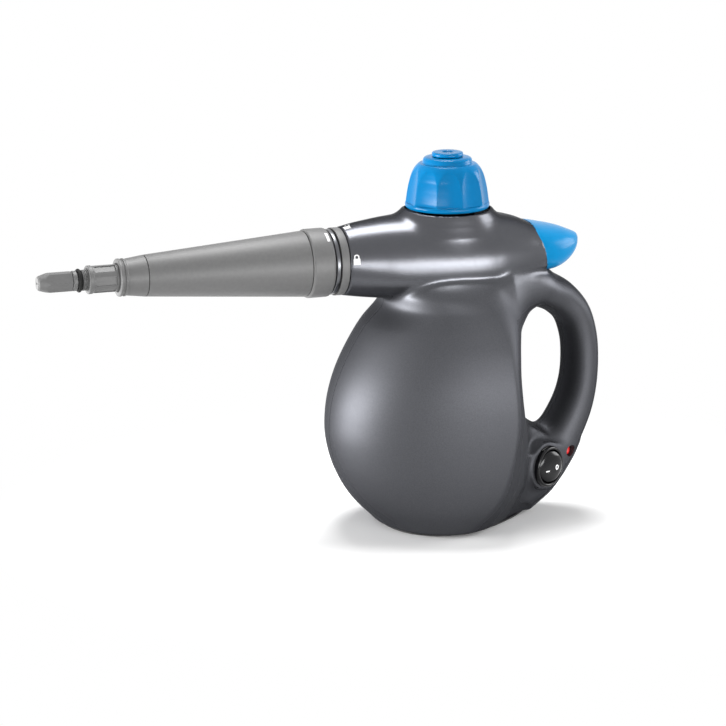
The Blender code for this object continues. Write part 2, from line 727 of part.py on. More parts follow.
def pod_rings(inset, bottom, top, rows, sides):
    """Plan sections of the pod, drawn in by inset, from bottom to top."""
    rings = []
    for height, front, centre, rear, width, power in rows:
        z = bottom + (top - bottom) * (height - rows[0][0]) / (rows[-1][0] - rows[0][0])
        middle = centre * POD_FRONT
        reach = (front * POD_FRONT + middle - inset, rear * POD_REAR - middle - inset,
                 width * POD_HALF_WIDTH - inset)
        plan = [superellipse(angle, *reach, POD_FRONT_POWER, power) for angle in around(sides)]
        rings.append([(middle + x, y, z) for x, y in plan])
    return rings


def barrel_rings(inset, rows, start, sides):
    """Upright sections of the barrel, drawn in by inset, from the front to the rear."""
    rings = []
    for place, up, down, width in rows:
        x = start + place * BARREL_LENGTH
        power = BARREL_FRONT_POWER + (BARREL_POWER - BARREL_FRONT_POWER) * min(1.0,
                                                                               place / barrel_shares[4][0])
        ring = []
        for angle in around(sides):
            reach = (down * BARREL_DOWN - inset, up * BARREL_UP - inset, width * BARREL_HALF_WIDTH - inset)
            z, y = superellipse(angle, *reach, power, power)
            ring.append((x, -y, AXIS_HEIGHT + z))
        rings.append(ring)
    return rings


def handle_rings(inset, rows, sides):
    """Sections square to the handle's path."""
    centres = [Vector((x * HANDLE_REACH, 0, z * HANDLE_RISE)) for x, z, _, _ in rows]
    rings = []
    for i, (_, _, depth, width) in enumerate(rows):
        ahead = centres[min(i + 1, len(centres) - 1)] - centres[max(i - 1, 0)]
        outward = Vector((-ahead.z, 0, ahead.x)).normalized()
        ring = []
        for angle in around(sides):
            reach = depth * HANDLE_HALF_DEPTH - inset
            out, side = superellipse(angle, reach, reach, width * HANDLE_HALF_WIDTH - inset, HANDLE_POWER,
                                     HANDLE_POWER)
            ring.append(centres[i] + outward * out + RIGHT_HAND * side)
        rings.append(ring)
    return rings


def tail_nose(height):
    """Where the centre of the tail's round end lies at a height."""
    return between(tail_shares, height / TAIL_TOP)[1] * TAIL_REACH - TAIL_NOSE_RADIUS


def tail_ring(inset, height, nose):
    """The tail's plan: two flanks that close in to a round end."""
    radius = TAIL_NOSE_RADIUS - inset
    quarter = math.pi / 2 - TAIL_TAPER
    arc = [quarter * (2 * i / TAIL_NOSE_STEPS - 1) for i in range(TAIL_NOSE_STEPS + 1)]
    curve = [(nose + radius * math.cos(a), radius * math.sin(a), height) for a in arc]
    start_x, start_y, _ = curve[-1]
    root = start_y + (start_x - TAIL_ROOT) * math.tan(TAIL_TAPER)
    return [(TAIL_ROOT, -root, height), *curve, (TAIL_ROOT, root, height)]


def tail_rings(inset, bottom, top):
    heights = [height * TAIL_TOP for height, _ in tail_shares]
    span = (top - bottom) / (heights[-1] - heights[0])
    return [tail_ring(inset, bottom + (height - heights[0]) * span, tail_nose(height)) for height in heights]


def foot_ring(inset, height):
    reach = (FOOT_FRONT - inset, FOOT_REAR - inset, FOOT_HALF_WIDTH - inset)
    plan = [superellipse(angle, *reach, FOOT_FRONT_POWER, FOOT_REAR_POWER) for angle in around(FOOT_SIDES)]
    return [(FOOT_CENTRE + x, y, height) for x, y in plan]


def foot_slab(name, inset, bottom, top, material=None, cutter=True):
    return lofted(name, [foot_ring(inset, bottom), foot_ring(inset, top)], material, cutter)


def on_flank(set_back, height, proud=0.0):
    """A point on the tail's left flank, so far ahead of the round end, standing proud of it."""
    nose = Vector((tail_nose(height), 0, height))
    flank = nose + SWITCH_OUTWARD * (TAIL_NOSE_RADIUS + proud)
    return flank + Vector((-math.cos(TAIL_TAPER), -math.sin(TAIL_TAPER), 0)) * set_back


def rim_side(name, gap, tilt, behind):
    """A large box ahead of the barrel's tilted rear rim, or behind it."""
    half = BARREL_LENGTH / 2
    low_x, high_x = (gap, BARREL_LENGTH) if behind else (-BARREL_LENGTH, gap)
    box = block(name, (low_x, -half, -half), (high_x, half, half))
    top = AXIS_HEIGHT + between(barrel_shares, (RIM_TOP_X - BARREL_FRONT) / BARREL_LENGTH)[1] * BARREL_UP
    box.location = (RIM_TOP_X, 0, top)
    box.rotation_euler = (0, -tilt, 0)
    return box


def housing_form():
    """The outer form of both halves as one closed mesh."""
    form = lofted("pod_form", pod_rings(0, POD_BOTTOM, POD_TOP, pod_shares, POD_SIDES))
    barrel = lofted("barrel_form", barrel_rings(0, barrel_shares, BARREL_FRONT, BARREL_SIDES))
    shape(barrel, rim_side("barrel_end", 0, RIM_TILT, True))
    shape(form, barrel, "UNION")
    shape(form, lofted("handle_form", handle_rings(0, handle_shares, HANDLE_SIDES)), "UNION")
    shape(form, lofted("tail_form", tail_rings(0, POD_BOTTOM, TAIL_TOP)), "UNION")
    platform_foot = PLATFORM_TOP - PLATFORM_DROP
    platform = [(0, PLATFORM_TOP), (PLATFORM_RADIUS, PLATFORM_TOP), (PLATFORM_FOOT_RADIUS, platform_foot)]
    platform.append((0, platform_foot - PLATFORM_DROP))
    shape(form, turned("platform_form", platform, None, (BOILER_X, 0, 0), sides=FINE_SIDES, cutter=True),
          "UNION")
    face = on_flank(SWITCH_SET_BACK, SWITCH_HEIGHT, SWITCH_BOSS_PROUD)
    root = face - SWITCH_OUTWARD * (SWITCH_BOSS_ROOT + SWITCH_BOSS_PROUD)
    shape(form, rod("switch_boss", SWITCH_BOSS_RADIUS, root, face, ROUND_SIDES), "UNION")
    gland_root = (GLAND_X, GLAND_BOSS_ROOT, GLAND_HEIGHT)
    gland_face = (GLAND_X, GLAND_FACE, GLAND_HEIGHT)
    shape(form, rod("gland_boss", GLAND_BOSS_RADIUS, gland_root, gland_face, ROUND_SIDES), "UNION")
    return form


def cavity_form():
    """What the housing holds free: the forms less their wall, the posts, bosses, shelf and bulkhead."""
    floor = POD_BOTTOM + FLOOR_WALL
    rings = pod_rings(WALL, floor, POD_TOP - WALL, pod_shares[::2], POD_CAVITY_SIDES)
    cavity = lofted("pod_cavity", rings)
    rows = [between(barrel_shares, bay / BARREL_CAVITY_BAYS) for bay in range(BARREL_CAVITY_BAYS + 1)]
    barrel = lofted("barrel_cavity", barrel_rings(WALL, rows, BARREL_FRONT + WALL, BARREL_CAVITY_SIDES))
    shape(cavity, barrel, "UNION")
    shape(cavity, lofted("handle_cavity", handle_rings(WALL, handle_shares[:-1], HANDLE_CAVITY_SIDES)),
          "UNION")
    shape(cavity, lofted("tail_cavity", tail_rings(WALL, floor, TAIL_TOP - WALL)), "UNION")
    low = (VALVE_BAY_FRONT, -VALVE_BAY_HALF_WIDTH, VALVE_BAY_BOTTOM)
    shape(cavity, block("valve_bay", low, (VALVE_BAY_REAR, VALVE_BAY_HALF_WIDTH, VALVE_BAY_TOP)), "UNION")
    low = (PIPE_BAY_FRONT, -VALVE_BAY_HALF_WIDTH / 2, PIPE_BAY_BOTTOM)
    shape(cavity, block("pipe_bay", low, (PIPE_BAY_REAR, PIPE_BAY_SIDE, PIPE_BAY_TOP)), "UNION")
    far = POD_HALF_WIDTH + OVERRUN
    bosses = [rod("boss", BOSS_RADIUS, (x, -far, z), (x, far, z)) for x, z in HOUSING_SCREW_PLACES]
    for side in (-1, 1):
        start = (PIVOT_X, side * PIVOT_BOSS_INNER, PIVOT_HEIGHT)
        end = (PIVOT_X, side * far, PIVOT_HEIGHT)
        bosses.append(rod("pivot_boss", PIVOT_BOSS_RADIUS, start, end))
        for x, y in BASE_SCREW_PLACES:
            near, wide = sorted((side * (y - POST_HALF_SIDE), side * far))
            bosses.append(block("post", (x - POST_HALF_SIDE, near, -OVERRUN),
                                (x + POST_HALF_SIDE, wide, POST_TOP)))
    shape(cavity, gathered("bosses", bosses))
    shelf_top = BOILER_BOTTOM - GAP
    shelf = block("shelf", (-POD_FRONT - OVERRUN, -far, shelf_top - SHELF_THICKNESS),
                  (SHELF_REAR, far, shelf_top))
    hole_ends = [(BOILER_X, 0, shelf_top + side * (SHELF_THICKNESS + OVERRUN)) for side in (-1, 1)]
    shape(shelf, rod("shelf_hole", SHELF_HOLE, *hole_ends, ROUND_SIDES))
    shape(cavity, shelf)
    reach = BULKHEAD_REACH
    low = (-BULKHEAD_FRONT, -reach, AXIS_HEIGHT - reach)
    bulkhead = block("bulkhead", low, (-BULKHEAD_REAR, reach, AXIS_HEIGHT + reach))
    ends = [(-place, 0, AXIS_HEIGHT) for place in (BULKHEAD_FRONT + OVERRUN, BULKHEAD_REAR - OVERRUN)]
    shape(bulkhead, rod("nipple_hole", NIPPLE_RADIUS + GAP, *ends, MEDIUM_SIDES))
    shape(cavity, bulkhead)
    return cavity


def screw_bore(name, x, z):
    """Clearance hole and counterbore of a housing screw, open to the right."""
    far = POD_HALF_WIDTH + OVERRUN
    head = HOUSING_SCREW_HEAD_RADIUS + RUNNING_GAP
    shank = HOUSING_SCREW_RADIUS + GAP
    reach = HOUSING_SCREW_REACH + GAP
    profile = [(0, far), (head, far), (head, HOUSING_SCREW_SEAT), (shank, HOUSING_SCREW_SEAT),
               (shank, -reach), (0, -reach)]
    return turned(name, profile, None, (x, 0, z), RIGHT_HAND, SMALL_SIDES, cutter=True)


def post_holes():
    """Pilot holes for the foot's screws."""
    top = COVER_BOTTOM + BASE_SCREW_RECESS + BASE_SCREW_LENGTH + GAP
    places = [(x, side * y) for side in (-1, 1) for x, y in BASE_SCREW_PLACES]
    holes = [rod("post_hole", BASE_SCREW_RADIUS + GAP, (x, y, -OVERRUN), (x, y, top)) for x, y in places]
    return gathered("post_holes", holes)


def housing_holes():
    """Every other hole through the housing as one cutter."""
    holes = [screw_bore("screw_bore", x, z) for x, z in HOUSING_SCREW_PLACES]
    ends = [(PIVOT_X, side * (PIVOT_PIN_HALF_LENGTH + GAP), PIVOT_HEIGHT) for side in (-1, 1)]
    holes.append(rod("pin_hole", PIVOT_HOLE_RADIUS, *ends))
    opening_top = COVER_TOP + 2 * GAP
    holes.append(foot_slab("foot_opening", COVER_PLUG_INSET - GAP, POD_BOTTOM - OVERRUN, opening_top - GAP))
    start = (BARREL_FRONT - OVERRUN, 0, AXIS_HEIGHT)
    holes.append(rod("socket_hole", SOCKET_SLEEVE_RADIUS + GAP, start,
                     (BARREL_FRONT + OVERRUN, 0, AXIS_HEIGHT), ROUND_SIDES))
    low = (ARM_SLOT_FRONT, -ARM_SLOT_HALF_WIDTH, ARM_SLOT_BOTTOM)
    holes.append(block("arm_slot", low, (ARM_SLOT_REAR, ARM_SLOT_HALF_WIDTH, ARM_SLOT_TOP)))
    well = PLATFORM_TOP - NECK_WELL_DEPTH
    above = PLATFORM_TOP + OVERRUN
    hole = NECK_RADIUS + RUNNING_GAP
    profile = [(0, above), (NECK_WELL_RADIUS, above), (NECK_WELL_RADIUS, well), (hole, well), (hole, POD_TOP),
               (0, POD_TOP)]
    holes.append(turned("neck_hole", profile, None, (BOILER_X, 0, 0), sides=FINE_SIDES, cutter=True))
    face = on_flank(SWITCH_SET_BACK, SWITCH_HEIGHT, SWITCH_BOSS_PROUD)
    bezel = SWITCH_BOSS_RADIUS
    bore = SWITCH_BODY_RADIUS + GAP
    depth = -SWITCH_BODY_DEPTH - GAP
    profile = [(0, 2 * OVERRUN), (bezel, 2 * OVERRUN), (bezel, 0), (bore, 0), (bore, depth), (0, depth)]
    holes.append(turned("switch_hole", profile, None, face, SWITCH_OUTWARD, cutter=True))
    seat = LIGHT_RADIUS + GAP
    shank = LIGHT_SHANK_RADIUS + GAP
    depth = -LIGHT_SHANK_LENGTH - GAP
    profile = [(0, OVERRUN), (seat, OVERRUN), (seat, 0), (shank, 0), (shank, depth), (0, depth)]
    face = on_flank(LIGHT_SET_BACK, LIGHT_HEIGHT)
    holes.append(turned("light_hole", profile, None, face, SWITCH_OUTWARD, MEDIUM_SIDES, cutter=True))
    inner = (GLAND_X, GLAND_BOSS_ROOT, GLAND_HEIGHT)
    holes.append(rod("gland_hole", GLAND_RADIUS + GAP, inner, (GLAND_X, GLAND_FACE + OVERRUN, GLAND_HEIGHT),
                     ROUND_SIDES))
    return gathered("housing_holes", holes)


def housing():
    """Left and right shells: one form, hollowed, drilled and parted at the middle plane."""
    form = settled(housing_form())
    holes = (cavity_form(), housing_holes(), post_holes())
    far = POD_HALF_WIDTH + 2 * OVERRUN
    for name, side in (("left_shell", -1), ("right_shell", 1)):
        shell = placed(name, form.copy(), painted_plastic)
        near, wide = sorted((side * GAP / 2, -side * far))
        low = (-POD_FRONT - OVERRUN, near, -OVERRUN)
        half = block(f"{name}_other_half", low, (HANDLE_REACH + BARREL_LENGTH, wide, CAP_TOP))
        shape(shell, half)
        for drill in holes:
            shape(shell, drill)


def base():
    """Foot cover, rubber sole and the screws that hold the cover to posts in both shells."""
    flange_top = POD_BOTTOM - GAP
    steps = ((SOLE_INSET - GAP, SOLE_THICKNESS + GAP), (SOLE_INSET - GAP, COVER_BOTTOM),
             (COVER_FLANGE_INSET, COVER_BOTTOM))
    steps += ((COVER_FLANGE_INSET, flange_top), (COVER_PLUG_INSET, flange_top), (COVER_PLUG_INSET, COVER_TOP))
    cover = lofted("base_cover", [foot_ring(inset, height) for inset, height in steps], black_plastic, False)
    seat = COVER_BOTTOM + BASE_SCREW_RECESS
    head = BASE_SCREW_HEAD_RADIUS + GAP
    shank = BASE_SCREW_RADIUS + GAP
    bore = [(0, POST_TOP), (shank, POST_TOP), (shank, seat), (head, seat), (head, -OVERRUN), (0, -OVERRUN)]
    places = [(x, side * y, 0) for side in (-1, 1) for x, y in BASE_SCREW_PLACES]
    bores = [turned("cover_bore", bore, None, place, sides=SMALL_SIDES, cutter=True) for place in places]
    combine(cover, gathered("cover_bores", bores))
    foot_slab("rubber_sole", SOLE_INSET, 0, SOLE_THICKNESS, rubber, False)
    for number, place in enumerate(places, 1):
        tip = seat + BASE_SCREW_LENGTH
        top = seat - GAP
        profile = [(0, tip), (BASE_SCREW_RADIUS, tip), (BASE_SCREW_RADIUS, top),
                   (BASE_SCREW_HEAD_RADIUS, top)]
        profile += [(BASE_SCREW_HEAD_RADIUS, top - BASE_SCREW_HEAD_HEIGHT), (0, top - BASE_SCREW_HEAD_HEIGHT)]
        slotted(turned(f"base_screw_{number}", profile, steel, place, sides=SMALL_SIDES),
                BASE_SCREW_HEAD_RADIUS,
                Vector(place) + UP * (top - BASE_SCREW_HEAD_HEIGHT), UP)


def slotted(screw, head_radius, face, inward):
    """Cuts a slot into a screw's head."""
    across = Vector((1, 0, 0)) * (head_radius * SLOT_LENGTH_SHARE)
    side = inward.cross(across).normalized() * (SLOT_WIDTH / 2)
    corners = [face - across - side, face + across - side, face + across + side, face - across + side]
    rings = [[corner - inward * SLOT_DEPTH for corner in corners],
             [corner + inward * SLOT_DEPTH for corner in corners]]
    combine(screw, lofted(f"{screw.name}_slot", rings))


def housing_screws():
    seat = HOUSING_SCREW_SEAT + GAP
    for number, (x, z) in enumerate(HOUSING_SCREW_PLACES, 1):
        top = seat + HOUSING_SCREW_HEAD_HEIGHT
        profile = [(0, top), (HOUSING_SCREW_HEAD_RADIUS, top), (HOUSING_SCREW_HEAD_RADIUS, seat)]
        profile += [(HOUSING_SCREW_RADIUS, seat), (HOUSING_SCREW_RADIUS, -HOUSING_SCREW_REACH),
                    (0, -HOUSING_SCREW_REACH)]
        screw = turned(f"housing_screw_{number}", profile, steel, (x, 0, z), RIGHT_HAND, SMALL_SIDES)
        slotted(screw, HOUSING_SCREW_HEAD_RADIUS, Vector((x, top, z)), LEFT_HAND)


def forward_ring(name, profile, material, sides=ROUND_SIDES, cutter=False):
    """A ring around the nozzle's axis: heights are distances forward of the origin."""
    return turned(name, profile, material, (0, 0, AXIS_HEIGHT), FORWARD, sides, True, cutter)


def radial_blocks(name, count, turn, inner, outer, width, rear, front):
    """Boxes spaced around the nozzle's axis, reaching from an inner to an outer radius."""
    boxes = []
    for i in range(count):
        box = block(name, (-front, -width / 2, inner), (-rear, width / 2, outer))
        box.location = (0, 0, AXIS_HEIGHT)
        box.rotation_euler = (turn + math.tau * i / count, 0, 0)
        boxes.append(box)
    return boxes


def socket():
    """Bayonet socket held in the barrel's mouth, and the bright ring on its nose."""
    mouth = -BARREL_FRONT + GAP
    inside = -BARREL_FRONT - WALL - GAP
    flange_rear = inside - SOCKET_FLANGE_THICKNESS
    profile = [(SOCKET_NOSE_RADIUS, SOCKET_NOSE), (SOCKET_NOSE_RADIUS, SOCKET_FACE),
               (SOCKET_RADIUS - EDGE, SOCKET_FACE)]
    profile += [(SOCKET_RADIUS, SOCKET_FACE - EDGE), (SOCKET_RADIUS, mouth + EDGE),
                (SOCKET_RADIUS - EDGE, mouth)]
    profile += [(SOCKET_SLEEVE_RADIUS, mouth), (SOCKET_SLEEVE_RADIUS, inside), (SOCKET_FLANGE_RADIUS, inside)]
    profile += [(SOCKET_FLANGE_RADIUS, flange_rear), (SOCKET_SLEEVE_RADIUS, flange_rear),
                (SOCKET_SLEEVE_RADIUS, SOCKET_REAR)]
    profile += [(SOCKET_GROOVE, SOCKET_REAR), (SOCKET_GROOVE, SOCKET_GROOVE_FRONT),
                (SOCKET_BORE, SOCKET_GROOVE_FRONT)]
    profile += [(SOCKET_BORE, SOCKET_NOSE)]
    ring = forward_ring("bayonet_socket", profile, grey_plastic)
    front = SOCKET_NOSE + OVERRUN
    rear = SOCKET_GROOVE_FRONT - GAP
    width = LUG_WIDTH + 2 * RUNNING_GAP
    for entry in radial_blocks("lug_entry", 2, LUG_TURN, SOCKET_BORE / 2, LUG_RADIUS + GAP, width, rear,
                               front):
        combine(ring, entry)
    inner = SOCKET_NOSE_RADIUS + GAP
    rear = SOCKET_FACE + GAP
    profile = [(TRIM_RADIUS, SOCKET_NOSE), (TRIM_RADIUS, rear), (inner, rear), (inner, SOCKET_NOSE)]
    forward_ring("trim_ring", profile, bright_metal, FINE_SIDES)


def nozzle():
    """The nozzle in its lengths, from the bayonet collar to the jet."""
    web = COLLAR_REAR + COLLAR_WEB
    profile = [(COLLAR_FRONT_RADIUS, COLLAR_FRONT), (COLLAR_RADIUS, COLLAR_FRONT - COLLAR_EDGE)]
    profile += [(COLLAR_RADIUS, COLLAR_REAR + COLLAR_EDGE), (COLLAR_RADIUS - COLLAR_EDGE, COLLAR_REAR)]
    profile += [(SPIGOT_RADIUS, COLLAR_REAR), (SPIGOT_RADIUS, SPIGOT_REAR), (SPIGOT_BORE, SPIGOT_REAR),
                (SPIGOT_BORE, web)]
    profile += [(COLLAR_CUP_RADIUS, web), (COLLAR_CUP_RADIUS, COLLAR_FRONT)]
    collar = forward_ring("nozzle_collar", profile, grey_plastic, FINE_SIDES)
    root = (SPIGOT_BORE + SPIGOT_RADIUS) / 2
    for lug in radial_blocks("lug", 2, 0, root, LUG_RADIUS, LUG_WIDTH, LUG_REAR, LUG_FRONT):
        combine(collar, lug, "UNION")

    rear = COLLAR_FRONT + GAP
    joint = COLLAR_CUP_RADIUS - GAP
    profile = [(CONE_FRONT_RADIUS, CONE_FRONT), (CONE_REAR_RADIUS, rear), (joint, rear),
               (joint, rear - CONE_JOINT)]
    profile += [(joint - NOZZLE_WALL, rear - CONE_JOINT), (joint - NOZZLE_WALL, rear)]
    profile += [(CONE_FRONT_RADIUS - NOZZLE_WALL, CONE_FRONT)]
    forward_ring("nozzle_cone", profile, grey_plastic, FINE_SIDES)

    rear = CONE_FRONT + GAP
    joint = CONE_FRONT_RADIUS - NOZZLE_WALL - GAP
    mouth = TOOL_RADIUS + GAP
    profile = [(FRONT_RIM_RADIUS - EDGE, FRONT_FRONT), (FRONT_RIM_RADIUS, FRONT_FRONT - EDGE)]
    profile += [(FRONT_RIM_RADIUS, FRONT_STEP), (FRONT_STEP_RADIUS, FRONT_STEP - EDGE),
                (CONE_FRONT_RADIUS, rear)]
    profile += [(joint, rear), (joint, rear - FRONT_JOINT), (mouth, rear - FRONT_JOINT), (mouth, FRONT_FRONT)]
    forward_ring("nozzle_front", profile, grey_plastic, MEDIUM_SIDES)

    profile = [(TOOL_NECK_RADIUS, TOOL_FRONT), (TOOL_NECK_RADIUS, TOOL_GROOVE_FRONT),
               (TOOL_GROOVE_RADIUS, TOOL_GROOVE_FRONT)]
    profile += [(TOOL_GROOVE_RADIUS, TOOL_GROOVE_REAR), (TOOL_NECK_RADIUS, TOOL_GROOVE_REAR)]
    profile += [(TOOL_NECK_RADIUS, TOOL_SHOULDER), (TOOL_RADIUS, TOOL_SHOULDER), (TOOL_RADIUS, TOOL_REAR)]
    profile += [(TOOL_BORE, TOOL_REAR), (TOOL_BORE, TOOL_BORE_END), (TOOL_PORT, TOOL_BORE_END),
                (TOOL_PORT, TOOL_FRONT)]
    spigot = forward_ring("tool_spigot", profile, grey_plastic, MEDIUM_SIDES)
    floor = TOOL_RADIUS - TOOL_POCKET_DEPTH
    outer = TOOL_RADIUS + OVERRUN
    pockets = radial_blocks("pocket", TOOL_POCKETS, math.pi / TOOL_POCKETS, floor, outer, TOOL_POCKET_WIDTH,
                            TOOL_POCKET_REAR, TOOL_POCKET_FRONT)
    combine(spigot, gathered("tool_pockets", pockets))

    middle = (TOOL_GROOVE_REAR + TOOL_GROOVE_FRONT) / 2
    o_ring("spigot_o_ring", TOOL_GROOVE_RADIUS + GAP + O_RING_THICKNESS / 2, O_RING_THICKNESS / 2, middle)

    rear = TOOL_FRONT + GAP
    plug = TOOL_FRONT - TIP_PLUG_LENGTH
    profile = [(TIP_FACE_RADIUS, TIP_FRONT), (TIP_RADIUS, TIP_TAPER), (TIP_RADIUS, rear),
               (TIP_PLUG_RADIUS, rear)]
    profile += [(TIP_PLUG_RADIUS, plug), (JET_RADIUS, plug), (JET_RADIUS, TIP_FRONT)]
    forward_ring("jet_tip", profile, grey_plastic, HEX_SIDES)

    profile = [(TUBE_RADIUS, TUBE_FRONT), (TUBE_RADIUS, TUBE_REAR), (TUBE_BORE, TUBE_REAR),
               (TUBE_BORE, TUBE_FRONT)]
    forward_ring("nozzle_tube", profile, inner_plastic, MEDIUM_SIDES)


def o_ring(name, radius, half_thickness, place):
    """A rubber ring of round section around the nozzle's axis."""
    section = [(radius + half_thickness * math.cos(a), place - half_thickness * math.sin(a))
               for a in around(RING_SECTION_POINTS)]
    forward_ring(name, section, rubber, MEDIUM_SIDES)


def outlet():
    """Steam outlet nipple in the bulkhead, and the seal that the nozzle's tube slides over."""
    flange_front = BULKHEAD_REAR - GAP
    flange_rear = flange_front - NIPPLE_FLANGE_THICKNESS
    profile = [(NIPPLE_RADIUS, NIPPLE_FRONT), (NIPPLE_RADIUS, flange_front),
               (NIPPLE_FLANGE_RADIUS, flange_front)]
    profile += [(NIPPLE_FLANGE_RADIUS, flange_rear), (NIPPLE_RADIUS, flange_rear),
                (NIPPLE_RADIUS, NIPPLE_REAR)]
    profile += [(NIPPLE_BORE, NIPPLE_REAR), (NIPPLE_BORE, NIPPLE_FRONT)]
    forward_ring("outlet_nipple", profile, brass, MEDIUM_SIDES)
    o_ring("nozzle_seal", (NIPPLE_RADIUS + TUBE_BORE) / 2, SEAL_THICKNESS / 2, SEAL_PLACE)


def upright(name, profile, material, x=BOILER_X, y=0, sides=ROUND_SIDES, ring=False, cutter=False):
    return turned(name, profile, material, (x, y, 0), UP, sides, ring, cutter)


def bolt_places():
    angles = [math.pi + math.tau * i / BOILER_BOLTS for i in range(BOILER_BOLTS)]
    return [(BOILER_X + BOILER_BOLT_CIRCLE * math.cos(a), BOILER_BOLT_CIRCLE * math.sin(a)) for a in angles]


def leg_places():
    angles = (-ELEMENT_LEG_ANGLE, ELEMENT_LEG_ANGLE)
    return [(BOILER_X + ELEMENT_LEG_CIRCLE * math.cos(a), ELEMENT_LEG_CIRCLE * math.sin(a)) for a in angles]


def boiler():
    """Two flanged halves with a gasket, bolted together, and the filler neck on top."""
    inner = BOILER_RADIUS - BOILER_WALL
    below = BOILER_SPLIT - BOILER_FLANGE_THICKNESS
    floor = BOILER_BOTTOM + BOILER_WALL
    profile = [(0, floor), (inner, floor), (inner, BOILER_SPLIT), (BOILER_FLANGE_RADIUS, BOILER_SPLIT)]
    profile += [(BOILER_FLANGE_RADIUS, below), (BOILER_RADIUS, below), (BOILER_RADIUS, BOILER_BOTTOM),
                (0, BOILER_BOTTOM)]
    lower = upright("boiler_lower", profile, aluminium)
    seat = BOILER_SPLIT + BOILER_GASKET + 2 * GAP
    flange_top = seat + BOILER_FLANGE_THICKNESS
    roof = BOILER_TOP - BOILER_WALL
    profile = [(BOILER_MOUTH_RADIUS, BOILER_TOP), (BOILER_RADIUS - BOILER_EDGE, BOILER_TOP)]
    profile += [(BOILER_RADIUS, BOILER_TOP - BOILER_EDGE), (BOILER_RADIUS, flange_top),
                (BOILER_FLANGE_RADIUS, flange_top)]
    profile += [(BOILER_FLANGE_RADIUS, seat), (inner, seat), (inner, roof), (BOILER_MOUTH_RADIUS, roof)]
    upper = upright("boiler_upper", profile, aluminium, ring=True)
    top = BOILER_SPLIT + GAP + BOILER_GASKET
    profile = [(BOILER_FLANGE_RADIUS, top), (BOILER_FLANGE_RADIUS, top - BOILER_GASKET),
               (inner, top - BOILER_GASKET), (inner, top)]
    gasket = upright("boiler_gasket", profile, rubber, ring=True)
    tip = flange_top + GAP - BOLT_LENGTH
    hole = BOLT_RADIUS + GAP
    holes = [rod("bolt_hole", hole, (x, y, tip - GAP), (x, y, flange_top + OVERRUN), SMALL_SIDES) for x,
             y in bolt_places()]
    leg = ELEMENT_RADIUS + RUNNING_GAP
    holes += [rod("leg_hole", leg, (x, y, 0), (x, y, floor + OVERRUN)) for x, y in leg_places()]
    steam_x = BOILER_X + TOP_FITTING_CIRCLE
    holes.append(rod("steam_hole", RISER_BORE, (steam_x, 0, roof - OVERRUN),
                     (steam_x, 0, BOILER_TOP + OVERRUN)))
    drill = gathered("boiler_holes", holes)
    for piece in (lower, upper, gasket):
        combine(piece, drill)
    for number, (x, y) in enumerate(bolt_places(), 1):
        head = flange_top + GAP + BOLT_HEAD_HEIGHT
        profile = [(0, head), (BOLT_HEAD_RADIUS, head), (BOLT_HEAD_RADIUS, flange_top + GAP),
                   (BOLT_RADIUS, flange_top + GAP)]
        profile += [(BOLT_RADIUS, tip), (0, tip)]
        upright(f"flange_bolt_{number}", profile, steel, x, y, HEX_SIDES)
    foot = BOILER_TOP + GAP
    profile = [(NECK_RADIUS, NECK_TOP), (NECK_RADIUS, foot + NECK_FLANGE_THICKNESS)]
    profile += [(NECK_FLANGE_RADIUS, foot + NECK_FLANGE_THICKNESS), (NECK_FLANGE_RADIUS, foot),
                (NECK_BORE, foot), (NECK_BORE, NECK_TOP)]
    upright("filler_neck", profile, aluminium, ring=True)


def smooth_route(points, steps):
    """A Catmull-Rom curve through points, with so many steps between two of them."""
    points = [Vector(point) for point in points]
    points = [2 * points[0] - points[1], *points, 2 * points[-1] - points[-2]]
    route = []
    for a, b, c, d in zip(points, points[1:], points[2:], points[3:]):
        for i in range(steps):
            t = i / steps
            route.append((2 * b + (c - a) * t + (2 * a - 5 * b + 4 * c - d) * t**2 + (3 * b - a - 3 * c + d)
                          * t**3) / 2)
    return [*route, points[-2]]


def tube(name, route, radius, material, resolution=2):
    """A round tube or wire along a route."""
    curve = bpy.data.curves.new(name, "CURVE")
    curve.dimensions = "3D"
    curve.bevel_depth = radius
    curve.bevel_resolution = resolution
    curve.use_fill_caps = True
    spline = curve.splines.new("POLY")
    spline.points.add(len(route) - 1)
    for point, place in zip(spline.points, route):
        point.co = (*place, 1)
    curve.materials.append(material)
    item = bpy.data.objects.new(name, curve)
    parts.objects.link(item)
    return item


def coil(name, radius, wire, turns, start, end, material):
    """A compression spring between two points on its axis, its ends half a wire inside them."""
    start = Vector(start)
    axis = (Vector(end) - start).normalized()
    length = (Vector(end) - start).length - wire
    across = axis.orthogonal().normalized()
    side = axis.cross(across)
    count = turns * COIL_POINTS
    route = []
    for i in range(count + 1):
        angle = math.tau * i / COIL_POINTS
        rise = wire / 2 + length * i / count
        route.append(start + axis * rise + (across * math.cos(angle) + side * math.sin(angle)) * radius)
    return tube(name, route, wire / 2, material, 1)


